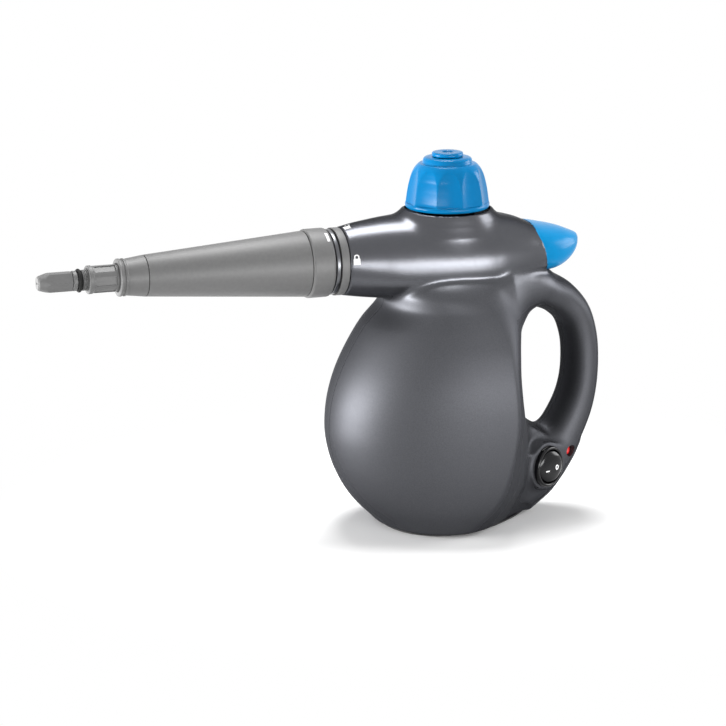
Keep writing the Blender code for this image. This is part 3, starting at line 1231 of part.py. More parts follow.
def boiler_fittings():
    """Heating element, thermostat, thermal fuse and the riser to the valve."""
    ring_height = BOILER_BOTTOM + ELEMENT_RING_HEIGHT
    (x, start_y), (_, end_y) = leg_places()
    bottom = BOILER_BOTTOM - ELEMENT_LEG_DROP
    bend = ring_height - 2 * ELEMENT_RADIUS
    spread = 2 * ELEMENT_LEG_ANGLE
    arc = [spread / 2 + (math.tau - spread) * i / ELEMENT_ARC_STEPS for i in range(ELEMENT_ARC_STEPS + 1)]
    ring = [(BOILER_X + ELEMENT_RING_RADIUS * math.cos(a), -ELEMENT_RING_RADIUS * math.sin(a), ring_height)
            for a in arc]
    tube("heating_element", [(x, start_y, bottom), (x, start_y, bend), *ring, (x, end_y, bend),
                             (x, end_y, bottom)],
         ELEMENT_RADIUS, steel)
    seat = BOILER_TOP + GAP
    mid = seat + THERMOSTAT_HEIGHT / 2
    profile = [(0, seat + THERMOSTAT_HEIGHT), (THERMOSTAT_CAP_RADIUS, seat + THERMOSTAT_HEIGHT),
               (THERMOSTAT_CAP_RADIUS, mid)]
    profile += [(THERMOSTAT_RADIUS, mid), (THERMOSTAT_RADIUS, seat), (0, seat)]
    upright("thermostat", profile, black_plastic, BOILER_X - TOP_FITTING_CIRCLE, sides=MEDIUM_SIDES)
    height = seat + FUSE_RADIUS
    ends = [(BOILER_X + side * FUSE_LENGTH / 2, -TOP_FITTING_CIRCLE, height) for side in (-1, 1)]
    rod("thermal_fuse", FUSE_RADIUS, *ends, SMALL_SIDES, aluminium, False)
    top = VALVE_BOTTOM - GAP
    rim = seat + RISER_FLANGE_THICKNESS
    profile = [(RISER_RADIUS, top), (RISER_RADIUS, rim), (RISER_FLANGE_RADIUS, rim),
               (RISER_FLANGE_RADIUS, seat)]
    profile += [(RISER_BORE, seat), (RISER_BORE, top)]
    upright("riser_pipe", profile, brass, BOILER_X + TOP_FITTING_CIRCLE, sides=MEDIUM_SIDES, ring=True)


def tooth_slots(name, inner, outer, bottom, top, turn):
    """Boxes around the cap's axis that leave the dog teeth between them."""
    slots = []
    for i in range(TEETH):
        box = block(name, (inner, -TOOTH_SLOT_WIDTH / 2, bottom), (outer, TOOTH_SLOT_WIDTH / 2, top))
        box.location = (BOILER_X, 0, 0)
        box.rotation_euler = (0, 0, turn + math.tau * i / TEETH)
        slots.append(box)
    return gathered(f"{name}s", slots)


def cap_outline():
    """The cap's fluted rings from the base up."""
    rings = []
    count = CAP_FLUTES * CAP_POINTS_PER_FLUTE
    for height, radius, flute in cap_shares:
        ring = []
        for angle in around(count):
            scoop = (1 - abs(math.cos(CAP_FLUTES * angle / 2))) * CAP_FLUTE_DEPTH * flute
            reach = radius * CAP_RADIUS - scoop
            ring.append((BOILER_X + reach * math.cos(angle), reach * math.sin(angle),
                         CAP_BASE + height * (CAP_TOP - CAP_BASE)))
        rings.append(ring)
    return rings


def cap():
    """Outer cap, its top disc, the plug it drives when pressed, and the spring that keeps them apart."""
    shell = lofted("cap_shell", cap_outline(), blue_plastic, False)
    below = CAP_BASE - OVERRUN
    profile = [(0, CAP_ROOF), (SLEEVE_BORE, CAP_ROOF), (SLEEVE_BORE, SLEEVE_BOTTOM),
               (SLEEVE_RADIUS, SLEEVE_BOTTOM)]
    profile += [(SLEEVE_RADIUS, CAP_SHOULDER), (CAP_SHOULDER_RADIUS, CAP_SHOULDER),
                (CAP_WAIST_RADIUS, CAP_WAIST)]
    profile += [(CAP_INNER_RADIUS, CAP_BASE), (CAP_INNER_RADIUS, below), (0, below)]
    combine(shell, upright("cap_hollow", profile, None, sides=MEDIUM_SIDES, cutter=True))
    above = CAP_TOP + OVERRUN
    hole = CAP_SCREW_RADIUS + RUNNING_GAP
    profile = [(0, above), (CAP_POCKET_RADIUS, above), (CAP_POCKET_RADIUS, CAP_SCREW_SEAT),
               (hole, CAP_SCREW_SEAT)]
    profile += [(hole, CAP_ROOF - OVERRUN), (0, CAP_ROOF - OVERRUN)]
    combine(shell, upright("cap_pocket", profile, None, sides=MEDIUM_SIDES, cutter=True))
    inner = SLEEVE_BORE - RUNNING_GAP
    outer = SLEEVE_RADIUS + RUNNING_GAP
    tooth_top = SLEEVE_BOTTOM + TOOTH_HEIGHT
    combine(shell, tooth_slots("sleeve_slot", inner, outer, SLEEVE_BOTTOM - RUNNING_GAP, tooth_top, 0))

    seat = CAP_TOP + GAP
    top = seat + CAP_DISC_THICKNESS
    dimple = top - CAP_DIMPLE_DEPTH
    inside = CAP_POCKET_RADIUS - GAP
    profile = [(0, dimple), (CAP_DIMPLE_RADIUS, dimple), (CAP_DIMPLE_RADIUS, top),
               (CAP_DISC_RADIUS - EDGE, top)]
    profile += [(CAP_DISC_RADIUS, top - EDGE), (CAP_DISC_RADIUS, seat), (inside, seat),
                (inside, seat - CAP_DISC_PLUG), (0, seat - CAP_DISC_PLUG)]
    upright("cap_disc", profile, blue_plastic, sides=MEDIUM_SIDES)

    profile = [(0, PLUG_HUB_TOP), (PLUG_HUB_RADIUS, PLUG_HUB_TOP), (PLUG_HUB_RADIUS, PLUG_FLANGE_TOP)]
    ridge = PLUG_FLANGE_TOP + TOOTH_HEIGHT
    profile += [(PLUG_TEETH_INNER, PLUG_FLANGE_TOP), (PLUG_TEETH_INNER, ridge), (PLUG_TEETH_OUTER, ridge)]
    profile += [(PLUG_TEETH_OUTER, PLUG_FLANGE_TOP), (PLUG_FLANGE_RADIUS, PLUG_FLANGE_TOP)]
    profile += [(PLUG_FLANGE_RADIUS, PLUG_FLANGE_BOTTOM), (PLUG_RADIUS, PLUG_FLANGE_BOTTOM),
                (PLUG_RADIUS, PLUG_BOTTOM)]
    profile += [(0, PLUG_BOTTOM)]
    plug = upright("cap_plug", profile, black_plastic, sides=MEDIUM_SIDES)
    inner = PLUG_TEETH_INNER - RUNNING_GAP
    outer = PLUG_TEETH_OUTER + RUNNING_GAP
    half_pitch = math.pi / TEETH
    combine(plug, tooth_slots("plug_slot", inner, outer, PLUG_FLANGE_TOP, ridge + RUNNING_GAP, half_pitch))
    below = PLUG_BOTTOM - OVERRUN
    seat_top = PLUG_BOTTOM + RELIEF_SEAT_THICKNESS
    seat_bore = RELIEF_SEAT_RADIUS + GAP
    profile = [(0, RELIEF_CHAMBER_TOP), (RELIEF_CHAMBER_RADIUS, RELIEF_CHAMBER_TOP),
               (RELIEF_CHAMBER_RADIUS, seat_top + GAP)]
    profile += [(seat_bore, seat_top + GAP), (seat_bore, below), (0, below)]
    combine(plug, upright("relief_chamber", profile, None, sides=SMALL_SIDES, cutter=True))
    screw_top = CAP_SCREW_SEAT + GAP
    screw_tip = screw_top - CAP_SCREW_LENGTH
    start = (BOILER_X, 0, screw_tip - GAP)
    combine(plug, rod("cap_screw_hole", CAP_SCREW_RADIUS + GAP, start, (BOILER_X, 0, PLUG_HUB_TOP + OVERRUN)))

    head = screw_top + CAP_SCREW_HEAD_HEIGHT
    profile = [(0, head), (CAP_SCREW_HEAD_RADIUS, head), (CAP_SCREW_HEAD_RADIUS, screw_top),
               (CAP_SCREW_RADIUS, screw_top)]
    profile += [(CAP_SCREW_RADIUS, screw_tip), (0, screw_tip)]
    screw = upright("cap_screw", profile, steel, sides=SMALL_SIDES)
    slotted(screw, CAP_SCREW_HEAD_RADIUS, Vector((BOILER_X, 0, head)), -UP)

    washer_top = CAP_ROOF - GAP
    washer_bottom = washer_top - WASHER_THICKNESS
    profile = [(WASHER_RADIUS, washer_top), (WASHER_RADIUS, washer_bottom), (WASHER_BORE, washer_bottom),
               (WASHER_BORE, washer_top)]
    upright("thrust_washer", profile, steel, sides=MEDIUM_SIDES, ring=True)
    start = (BOILER_X, 0, PLUG_FLANGE_TOP + GAP)
    coil("cap_spring", CAP_SPRING_RADIUS, CAP_SPRING_WIRE, CAP_SPRING_TURNS, start,
         (BOILER_X, 0, washer_bottom - GAP), steel)

    top = PLUG_FLANGE_BOTTOM - GAP
    bottom = top - CAP_GASKET_THICKNESS
    profile = [(NECK_RADIUS, top), (NECK_RADIUS, bottom), (NECK_BORE, bottom), (NECK_BORE, top)]
    upright("cap_gasket", profile, rubber, sides=MEDIUM_SIDES, ring=True)

    profile = [(RELIEF_SEAT_RADIUS, seat_top), (RELIEF_SEAT_RADIUS, PLUG_BOTTOM), (RELIEF_PORT, PLUG_BOTTOM),
               (RELIEF_PORT, seat_top)]
    upright("relief_seat", profile, brass, sides=SMALL_SIDES, ring=True)
    centre = seat_top + math.sqrt(RELIEF_BALL_RADIUS**2 - RELIEF_PORT**2) + GAP
    steps = RING_SECTION_POINTS
    arc = [math.pi * i / steps for i in range(steps + 1)]
    profile = [(RELIEF_BALL_RADIUS * math.sin(a), centre + RELIEF_BALL_RADIUS * math.cos(a)) for a in arc]
    profile[0] = (0, centre + RELIEF_BALL_RADIUS)
    profile[-1] = (0, centre - RELIEF_BALL_RADIUS)
    upright("relief_ball", profile, steel, sides=SMALL_SIDES)
    start = (BOILER_X, 0, centre + RELIEF_BALL_RADIUS)
    coil("relief_spring", RELIEF_SPRING_RADIUS, RELIEF_SPRING_WIRE, RELIEF_SPRING_TURNS, start,
         (BOILER_X, 0, RELIEF_CHAMBER_TOP - GAP), steel)


def valve():
    """Steam valve on the riser, its stem and spring, and the tube that leads past the neck to the outlet."""
    x = BOILER_X + TOP_FITTING_CIRCLE
    rear = x + VALVE_HALF_LENGTH
    low = (x - VALVE_HALF_LENGTH, -VALVE_HALF_WIDTH, VALVE_BOTTOM)
    body = block("valve_body", low, (rear, VALVE_HALF_WIDTH, VALVE_TOP), brass, False)
    stem_start = (rear - STEM_BORE_DEPTH, 0, STEM_HEIGHT)
    combine(body, rod("stem_port", STEM_BORE, stem_start, (rear + OVERRUN, 0, STEM_HEIGHT)))
    combine(body, rod("inlet_port", INLET_PORT_RADIUS, (x, 0, VALVE_BOTTOM - OVERRUN),
                      (x, 0, STEM_HEIGHT - GAP)))
    side_start = (x, GAP, STEM_HEIGHT)
    combine(body, rod("outlet_port", STEAM_PORT_RADIUS, side_start,
                      (x, VALVE_HALF_WIDTH + OVERRUN, STEM_HEIGHT)))
    back = Vector((1, 0, 0))
    collar = STEM_END - STEM_COLLAR_THICKNESS
    profile = [(0, STEM_END), (STEM_COLLAR_RADIUS, STEM_END), (STEM_COLLAR_RADIUS, collar),
               (STEM_RADIUS, collar)]
    profile += [(STEM_RADIUS, rear - STEM_INSERTION), (0, rear - STEM_INSERTION)]
    turned("valve_stem", profile, steel, (0, 0, STEM_HEIGHT), back, MEDIUM_SIDES)
    coil("stem_spring", STEM_SPRING_RADIUS, STEM_SPRING_WIRE, STEM_SPRING_TURNS, (rear + GAP, 0, STEM_HEIGHT),
         (collar - GAP, 0, STEM_HEIGHT), steel)
    beside = NECK_RADIUS + 2 * STEAM_TUBE_RADIUS - GAP
    out = VALVE_HALF_WIDTH + GAP
    end = -NIPPLE_REAR + GAP
    climb = AXIS_HEIGHT - STEM_HEIGHT
    lead = STEAM_TUBE_RADIUS
    points = [(x, out + lead * i, STEM_HEIGHT) for i in range(3)]
    for along, side, rise in steam_tube_shares:
        points.append((x + (end - x) * along, beside * side, STEM_HEIGHT + climb * rise))
    points += [(end + lead * i, 0, AXIS_HEIGHT) for i in (2, 1, 0)]
    tube("steam_tube", smooth_route(points, STEAM_TUBE_STEPS), STEAM_TUBE_RADIUS, bright_metal)


def trigger_rings():
    rings = []
    for place, top, bottom, width in trigger_shares:
        x = TRIGGER_ROOT + place * (TRIGGER_REACH - TRIGGER_ROOT)
        high = AXIS_HEIGHT + top * TRIGGER_UP
        low = AXIS_HEIGHT + bottom * TRIGGER_DOWN
        ring = []
        for angle in around(TRIGGER_SIDES):
            half = (high - low) / 2
            z, y = superellipse(angle, half, half, width * TRIGGER_HALF_WIDTH, TRIGGER_POWER, TRIGGER_POWER)
            ring.append((x, -y, low + half + z))
        rings.append(ring)
    return rings


def trigger():
    """Thumb trigger: the blue paddle, and inside the barrel its yoke, hub and arm that pushes the stem."""
    paddle = lofted("trigger", trigger_rings(), blue_plastic, False)
    combine(paddle, rim_side("paddle_front", TRIGGER_GAP, TRIGGER_TILT, False))
    yoke = block("yoke", (YOKE_FRONT, -YOKE_HALF_WIDTH, YOKE_BOTTOM), (YOKE_REAR, YOKE_HALF_WIDTH, YOKE_TOP))
    combine(paddle, yoke, "UNION")
    web = block("web", (WEB_FRONT, -HUB_RIGHT, PIVOT_HEIGHT), (WEB_REAR, HUB_RIGHT - GAP, YOKE_BOTTOM + GAP))
    combine(paddle, web, "UNION")
    hub = rod("hub", HUB_RADIUS, (PIVOT_X, -HUB_LEFT, PIVOT_HEIGHT), (PIVOT_X, HUB_RIGHT, PIVOT_HEIGHT),
              ROUND_SIDES)
    combine(paddle, hub, "UNION")
    rear = ARM_FACE + ARM_THICKNESS
    outline = [(ARM_FACE, ARM_BOTTOM), (rear, ARM_BOTTOM), (rear, ARM_KNEE),
               (WEB_REAR - GAP, PIVOT_HEIGHT - HUB_RADIUS)]
    outline += [(WEB_REAR - GAP, PIVOT_HEIGHT + GAP), (WEB_FRONT + GAP, PIVOT_HEIGHT + GAP),
                (ARM_FACE, ARM_KNEE)]
    combine(paddle, plate("arm", outline, ARM_HALF_WIDTH), "UNION")
    ends = [(PIVOT_X, side * (HUB_LEFT + OVERRUN), PIVOT_HEIGHT) for side in (-1, 1)]
    combine(paddle, rod("pivot_bore", PIVOT_HOLE_RADIUS, *ends))
    ends = [(PIVOT_X, side * PIVOT_PIN_HALF_LENGTH, PIVOT_HEIGHT) for side in (-1, 1)]
    rod("trigger_pin", PIVOT_PIN_RADIUS, *ends, SMALL_SIDES, steel, False)
    start = (PIVOT_X, TRIGGER_SPRING_START, PIVOT_HEIGHT)
    end = (PIVOT_X, TRIGGER_SPRING_START + TRIGGER_SPRING_WIDTH, PIVOT_HEIGHT)
    coil("trigger_spring", TRIGGER_SPRING_RADIUS, TRIGGER_SPRING_WIRE, TRIGGER_SPRING_TURNS, start, end,
         steel)


def switch():
    """Round rocker switch on the left flank, its rocker resting on the off side, and two blades behind."""
    face = on_flank(SWITCH_SET_BACK, SWITCH_HEIGHT, SWITCH_BOSS_PROUD + GAP)
    front = SWITCH_BEZEL_THICKNESS
    floor = front - SWITCH_WELL_DEPTH
    profile = [(0, floor), (SWITCH_WELL_RADIUS, floor), (SWITCH_WELL_RADIUS, front),
               (SWITCH_BEZEL_RADIUS - EDGE, front)]
    profile += [(SWITCH_BEZEL_RADIUS, front - 2 * EDGE), (SWITCH_BEZEL_RADIUS, 0), (SWITCH_BODY_RADIUS, 0)]
    profile += [(SWITCH_BODY_RADIUS, -SWITCH_BODY_DEPTH), (0, -SWITCH_BODY_DEPTH)]
    turned("switch_body", profile, black_plastic, face, SWITCH_OUTWARD)
    axis = face + SWITCH_OUTWARD * (front - (ROCKER_DROP - ROCKER_RISE) / 2 - ROCKER_RISE / 2)
    edge = ROCKER_RISE - ROCKER_CROWN
    profile = [(0, ROCKER_RISE), (ROCKER_RADIUS / 2, ROCKER_RISE - ROCKER_CROWN / 4),
               (ROCKER_RADIUS - EDGE, edge)]
    profile += [(ROCKER_RADIUS, edge - EDGE), (ROCKER_FOOT_RADIUS, -ROCKER_DROP), (0, -ROCKER_DROP)]
    tilted = Matrix.Rotation(-ROCKER_TILT, 3, "Z") @ SWITCH_OUTWARD
    turned("switch_rocker", profile, black_plastic, axis, tilted, MEDIUM_SIDES)
    across = Vector((-math.cos(TAIL_TAPER), -math.sin(TAIL_TAPER), 0))
    back = face - SWITCH_OUTWARD * (SWITCH_BODY_DEPTH + GAP)
    for number, side in enumerate((-1, 1), 1):
        middle = back + UP * (side * TERMINAL_SPREAD)
        corners = [middle + across * (s * TERMINAL_WIDTH / 2) + UP * (t * TERMINAL_THICKNESS / 2)
                   for s, t in ((-1, -1), (1, -1), (1, 1), (-1, 1))]
        rings = [corners, [corner - SWITCH_OUTWARD * TERMINAL_LENGTH for corner in corners]]
        lofted(f"switch_terminal_{number}", rings, brass, False)


def pilot_light():
    face = on_flank(LIGHT_SET_BACK, LIGHT_HEIGHT, GAP)
    profile = [(0, LIGHT_RISE), (LIGHT_CROWN_RADIUS, LIGHT_RISE - EDGE / 2), (LIGHT_RADIUS, LIGHT_SHOULDER)]
    profile += [(LIGHT_RADIUS, EDGE)]
    profile += [(LIGHT_SHANK_RADIUS, EDGE), (LIGHT_SHANK_RADIUS, -LIGHT_SHANK_LENGTH),
                (0, -LIGHT_SHANK_LENGTH)]
    turned("indicator_light", profile, red_lens, face, SWITCH_OUTWARD, MEDIUM_SIDES)


def gland_and_wires():
    """Bush of the cord inlet, and the wires inside from it to the switch and on to the element."""
    seat = GLAND_FACE + GAP
    top = seat + GLAND_FLANGE_THICKNESS
    bottom = seat - GLAND_LENGTH
    profile = [(GLAND_FLANGE_RADIUS - EDGE, top), (GLAND_FLANGE_RADIUS, top - EDGE),
               (GLAND_FLANGE_RADIUS, seat), (GLAND_RADIUS, seat)]
    profile += [(GLAND_RADIUS, bottom), (GLAND_BORE, bottom), (GLAND_BORE, top)]
    turned("cord_gland", profile, rubber, (GLAND_X, 0, GLAND_HEIGHT), RIGHT_HAND, MEDIUM_SIDES, True)
    depth = SWITCH_BODY_DEPTH + TERMINAL_LENGTH + WIRE_STANDOFF
    back = on_flank(SWITCH_SET_BACK, SWITCH_HEIGHT, SWITCH_BOSS_PROUD + GAP) - SWITCH_OUTWARD * depth
    upper = back + UP * TERMINAL_SPREAD
    lower = back - UP * TERMINAL_SPREAD
    out = GLAND_FACE - GLAND_LENGTH - WALL
    route = [(GLAND_X, out, GLAND_HEIGHT + GLAND_BORE),
             (GLAND_X - WALL, out - WALL, GLAND_HEIGHT + 2 * GLAND_BORE)]
    route += [upper + RIGHT_HAND * WALL, upper]
    tube("supply_wire", smooth_route(route, WIRE_STEPS), WIRE_RADIUS, wire_jacket, 1)
    leg_x, leg_y = leg_places()[0]
    leg = Vector((leg_x, leg_y, BOILER_BOTTOM - ELEMENT_LEG_DROP - GAP - WIRE_RADIUS))
    route = [lower, lower - UP * WALL - SWITCH_OUTWARD * WALL, (SHELF_REAR, leg_y, leg.z - WIRE_RADIUS), leg]
    tube("heater_wire", smooth_route(route, WIRE_STEPS), WIRE_RADIUS, wire_jacket, 1)


housing()
base()
housing_screws()
socket()
nozzle()
outlet()
boiler()
boiler_fittings()
cap()
valve()
trigger()
switch()
pilot_light()
gland_and_wires()
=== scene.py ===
"""Looks of the handheld steam cleaner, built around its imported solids. Lengths are in millimetres until a
mesh is made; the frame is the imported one: nozzle to -X, +Z up, switch on the -Y side."""

import json
import math

import bmesh
import bpy
import numpy as np
import openvdb
from mathutils import Matrix, Vector


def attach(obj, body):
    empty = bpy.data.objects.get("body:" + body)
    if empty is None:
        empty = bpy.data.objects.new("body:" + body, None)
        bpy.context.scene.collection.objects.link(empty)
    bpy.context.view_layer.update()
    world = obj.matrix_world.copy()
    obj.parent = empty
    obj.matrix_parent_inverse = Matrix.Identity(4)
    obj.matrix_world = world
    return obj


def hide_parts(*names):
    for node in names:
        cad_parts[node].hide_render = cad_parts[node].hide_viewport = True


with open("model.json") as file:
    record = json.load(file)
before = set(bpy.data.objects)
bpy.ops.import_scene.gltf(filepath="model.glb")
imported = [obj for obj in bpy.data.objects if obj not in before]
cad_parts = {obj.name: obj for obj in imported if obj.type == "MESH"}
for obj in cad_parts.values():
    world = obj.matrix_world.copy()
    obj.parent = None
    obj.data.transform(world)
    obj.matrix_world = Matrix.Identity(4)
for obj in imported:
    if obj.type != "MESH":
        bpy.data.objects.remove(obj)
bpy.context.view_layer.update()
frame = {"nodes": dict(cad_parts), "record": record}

MM = 0.001

# Camera: its lens, where it stands around the object and what it is aimed at
PHOTO_SIDE = 726
FOCAL_PIXELS = 3300
SENSOR_WIDTH = 36
CAMERA_AZIMUTH = math.radians(-20.0)
CAMERA_ELEVATION = math.radians(13.7)
CAMERA_DISTANCE = 1782
AIM = (-52.263, 0, 91.257)

# Housing field: size of a cell, cells kept beside the surface, and the corners of the box it fills
VOXEL = 0.8
BAND = 16
FIELD_LOW = (-80.0, -66.0, -4.0)
FIELD_HIGH = (96.0, 66.0, 182.0)

# Housing: sizes of the pod, barrel, platform, handle, web and tail
WALL = 2.6
POD_BOTTOM = 2.0
POD_TOP = 141.5
POD_FRONT = 71.7
POD_REAR = 42.0
POD_HALF_WIDTH = 58.0
POD_FRONT_POWER = 2.1
POD_TOP_POWER = 2.35
POD_TOP_BLEND = (0.87, 0.95)
# height, front reach, place of the widest point, rear reach, half width, rear power
pod_shares = (
    (0.014, 0.612, -0.110, 0.714, 0.716, 1.60),
    (0.035, 0.653, -0.080, 0.738, 0.750, 1.60),
    (0.096, 0.774, 0.020, 0.857, 0.836, 1.50),
    (0.170, 0.876, 0.100, 0.986, 0.900, 1.40),
    (0.261, 0.956, 0.155, 1.015, 0.952, 1.32),
    (0.360, 0.998, 0.190, 0.990, 0.986, 1.30),
    (0.452, 0.994, 0.200, 0.811, 1.000, 1.60),
    (0.537, 0.962, 0.195, 0.725, 0.997, 1.70),
    (0.622, 0.903, 0.185, 0.698, 0.971, 1.75),
    (0.710, 0.815, 0.170, 0.714, 0.914, 1.90),
    (0.792, 0.711, 0.135, 0.772, 0.832, 2.00),
    (0.866, 0.577, 0.075, 0.800, 0.745, 2.00),
    (0.926, 0.560, 0.000, 0.780, 0.662, 2.20),
    (0.968, 0.532, 0.000, 0.760, 0.560, 2.60),
    (1.000, 0.475, 0.000, 0.720, 0.410, 2.60),
    (1.040, 0.300, 0.000, 0.600, 0.200, 2.20),
)
AXIS_HEIGHT = 148.5
BARREL_FRONT = -65.5
BARREL_LENGTH = 117.5
BARREL_UP = 23.4
BARREL_DOWN = 22.0
BARREL_HALF_WIDTH = 30.5
BARREL_FRONT_POWER = 2.0
BARREL_POWER = 2.3
BARREL_POWER_RUN = 0.3
# depth of the widest line under the axis, and the shares of length that it comes and goes over
BARREL_SAG = 3.5
SAG_RUN = 0.25
SAG_END = 0.92
# place along the length, height above the axis, depth below it, half width
barrel_shares = (
    (0.000, 0.782, 0.832, 0.600),
    (0.074, 0.855, 0.891, 0.669),
    (0.149, 0.906, 0.936, 0.738),
    (0.217, 0.944, 0.964, 0.803),
    (0.319, 0.979, 0.982, 0.885),
    (0.455, 1.000, 1.000, 0.967),
    (0.591, 0.991, 0.977, 1.000),
    (0.694, 0.949, 0.932, 0.967),
    (0.779, 0.863, 0.841, 0.905),
    (0.855, 0.761, 0.750, 0.833),
    (0.915, 0.641, 0.659, 0.767),
    (1.000, 0.500, 0.614, 0.690),
)
RIM_TOP_X = 41.5
RIM_TOP = 163.9
RIM_TILT = math.radians(13.0)
# the cut that opens the barrel's rear: wall left, start, and stretch past the rim
MOUTH_INSET = 2.2
MOUTH_START = 22.0
MOUTH_OVERRUN = 6.0
CAP_X = -4.0
# radius, height: the platform under the cap, closed on its axis
platform_rows = ((0.01, 173.1), (24.1, 173.1), (24.9, 170.5), (25.6, 167.0), (25.8, 162.0), (23.0, 156.0),
                 (0.01, 152.0))
HANDLE_REACH = 75.0
HANDLE_RISE = 123.5
HANDLE_HALF_DEPTH = 11.0
HANDLE_HALF_WIDTH = 15.0
HANDLE_POWER = 2.2
# place along X, height, half depth, half width
handle_shares = (
    (0.320, 1.036, 2.000, 1.930),
    (0.453, 1.048, 1.600, 1.800),
    (0.587, 1.040, 1.210, 1.600),
    (0.693, 1.012, 0.965, 1.380),
    (0.816, 0.970, 0.915, 1.180),
    (0.925, 0.898, 0.855, 1.080),
    (0.984, 0.794, 0.825, 1.013),
    (1.000, 0.684, 0.815, 1.000),
    (0.987, 0.571, 0.835, 1.000),
    (0.941, 0.466, 0.915, 1.000),
    (0.855, 0.360, 1.020, 1.033),
    (0.750, 0.267, 1.150, 1.133),
    (0.618, 0.170, 1.230, 1.220),
    (0.487, 0.095, 1.000, 1.150),
)
WEB_X = 40.0
WEB_HEIGHT = 38.5
WEB_RADIUS = 9.5
WEB_HALF_WIDTH = 13.0
TAIL_ROOT = 12.0
TAIL_REACH = 75.0
TAIL_TOP = 38.0
TAIL_NOSE_RADIUS = 10.0
TAIL_TAPER = math.radians(29.0)
# height, reach
tail_shares = ((0.053, 0.613), (0.316, 0.760), (0.579, 0.875), (0.816, 0.951), (1.000, 0.982))

# Fillets where each form joins the rest of the housing
PLATFORM_FILLET = 6.5
HANDLE_FILLET = 12.0
WEB_FILLET = 12.0
TAIL_FILLET = 5.5
SWITCH_BOSS_FILLET = 3.5
GLAND_BOSS_FILLET = 2.0
BARREL_FILLET = 3.0

# Switch, pilot light and cord gland on the tail
SWITCH_SET_BACK = 22.0
SWITCH_HEIGHT = 29.8
SWITCH_BOSS_RADIUS = 13.0
SWITCH_BOSS_PROUD = 2.2
SWITCH_BOSS_ROOT = 6
LIGHT_SET_BACK = 6.0
LIGHT_HEIGHT = 35.2
GLAND_X = 44.0
GLAND_HEIGHT = 17.0
GLAND_FACE = 23.5
GLAND_BOSS_RADIUS = 8.5
GLAND_BOSS_ROOT = 6.0

# Holes in the housing
SOCKET_HOLE_RADIUS = 13.2
SOCKET_HOLE_REACH = 6
WELL_RADIUS = 23.3
WELL_FLOOR = 171.5
NECK_HOLE_RADIUS = 13.4
NECK_HOLE_BOTTOM = 141
SWITCH_HOLE_RADIUS = 10.2
SWITCH_HOLE_DEPTH = 16
LIGHT_HOLE_RADIUS = 3.3
LIGHT_HOLE_DEPTH = 6
GLAND_HOLE_RADIUS = 6.2
GLAND_HOLE_ROOT = 4
HOLE_OVERRUN = 8
SCREW_POST_RADIUS = 4.2
# inset from the foot's outline, height
foot_opening = ((3.2, -4), (3.2, 4.7))
# x, height
housing_screw_places = ((-59.0, 70.0), (75.0, 84.0), (59.0, 20.0), (-38.0, 132.0), (55.3, 123.5))
# radius, reach from the middle plane: the wide hole of the head, then the shank
housing_screw_bore = ((0, 64), (3.0, 64), (3.0, 4.0), (1.7, 4.0), (1.7, -2), (0, -2))

# Boxes that part the shells: half the gap, reach to the side, and x and height of their corners
PARTING_HALF_GAP = 0.15
SHELL_REACH = 80
SHELL_BOX_LOW = (-90, -10)
SHELL_BOX_HIGH = (110, 190)

# Foot
FOOT_CENTRE = -8.0
FOOT_FRONT = 35.0
FOOT_REAR = 52.5
FOOT_HALF_WIDTH = 39.5
FOOT_FRONT_POWER = 2.4
FOOT_REAR_POWER = 1.3

ON_AXIS = (0, 0, AXIS_HEIGHT)
UP = Vector((0, 0, 1))
FORWARD = Vector((-1, 0, 0))
REARWARD = Vector((1, 0, 0))
RIGHT_HAND = Vector((0, 1, 0))
FLANK = Vector((math.sin(TAIL_TAPER), -math.cos(TAIL_TAPER), 0))
FLANK_AHEAD = Vector((-math.cos(TAIL_TAPER), -math.sin(TAIL_TAPER), 0))


# ---- meshes


def placed(name, data):
    """An object in the scene."""
    item = bpy.data.objects.new(name, data)
    bpy.context.scene.collection.objects.link(item)
    return item


def made(name, points, faces, smooth=True):
    """A mesh object from points in millimetres."""
    mesh = bpy.data.meshes.new(name)
    mesh.from_pydata((np.asarray(points, float) * MM).tolist(), [], [list(map(int, f)) for f in faces])
    mesh.validate()
    if smooth:
        mesh.shade_smooth()
    return placed(name, mesh)


def outward(item):
    """Turns all faces to look outward."""
    work = bmesh.new()
    work.from_mesh(item.data)
    bmesh.ops.recalc_face_normals(work, faces=work.faces)
    work.to_mesh(item.data)
    work.free()
    return item


def sharp_over(item, degrees):
    """Keeps edges crisp where two faces turn by more than so many degrees."""
    item.data.set_sharp_from_angle(angle=math.radians(degrees))
    return item


def through(rows, count):
    """Rows of a smooth curve through the rows of a table."""
    rows = np.asarray(rows, float)
    last = len(rows) - 1
    padded = np.vstack([2 * rows[0] - rows[1], rows, 2 * rows[-1] - rows[-2]])
    places = np.linspace(0, last, count)
    low = np.minimum(places.astype(int), last - 1)
    t = (places - low)[:, None]
    a, b, c, d = (padded[low + i] for i in range(4))
    return (2 * b + (c - a) * t + (2 * a - 5 * b + 4 * c - d) * t**2 + (3 * b - a - 3 * c + d) * t**3) / 2


def turns(count):
    """Angles spaced evenly around a full turn."""
    return np.arange(count) * (math.tau / count)


def superellipse(angles, positive, negative, across, positive_power, negative_power=None):
    """Plan points whose halves along +x and -x have their own reach and power."""
    negative_power = negative_power or positive_power
    cosine, sine = np.cos(angles), np.sin(angles)
    power = np.where(cosine > 0, positive_power, negative_power)
    reach = np.where(cosine > 0, positive, negative)
    x = np.sign(cosine) * np.abs(cosine) ** (2 / power) * reach
    y = np.sign(sine) * np.abs(sine) ** (2 / power) * across
    return x, y


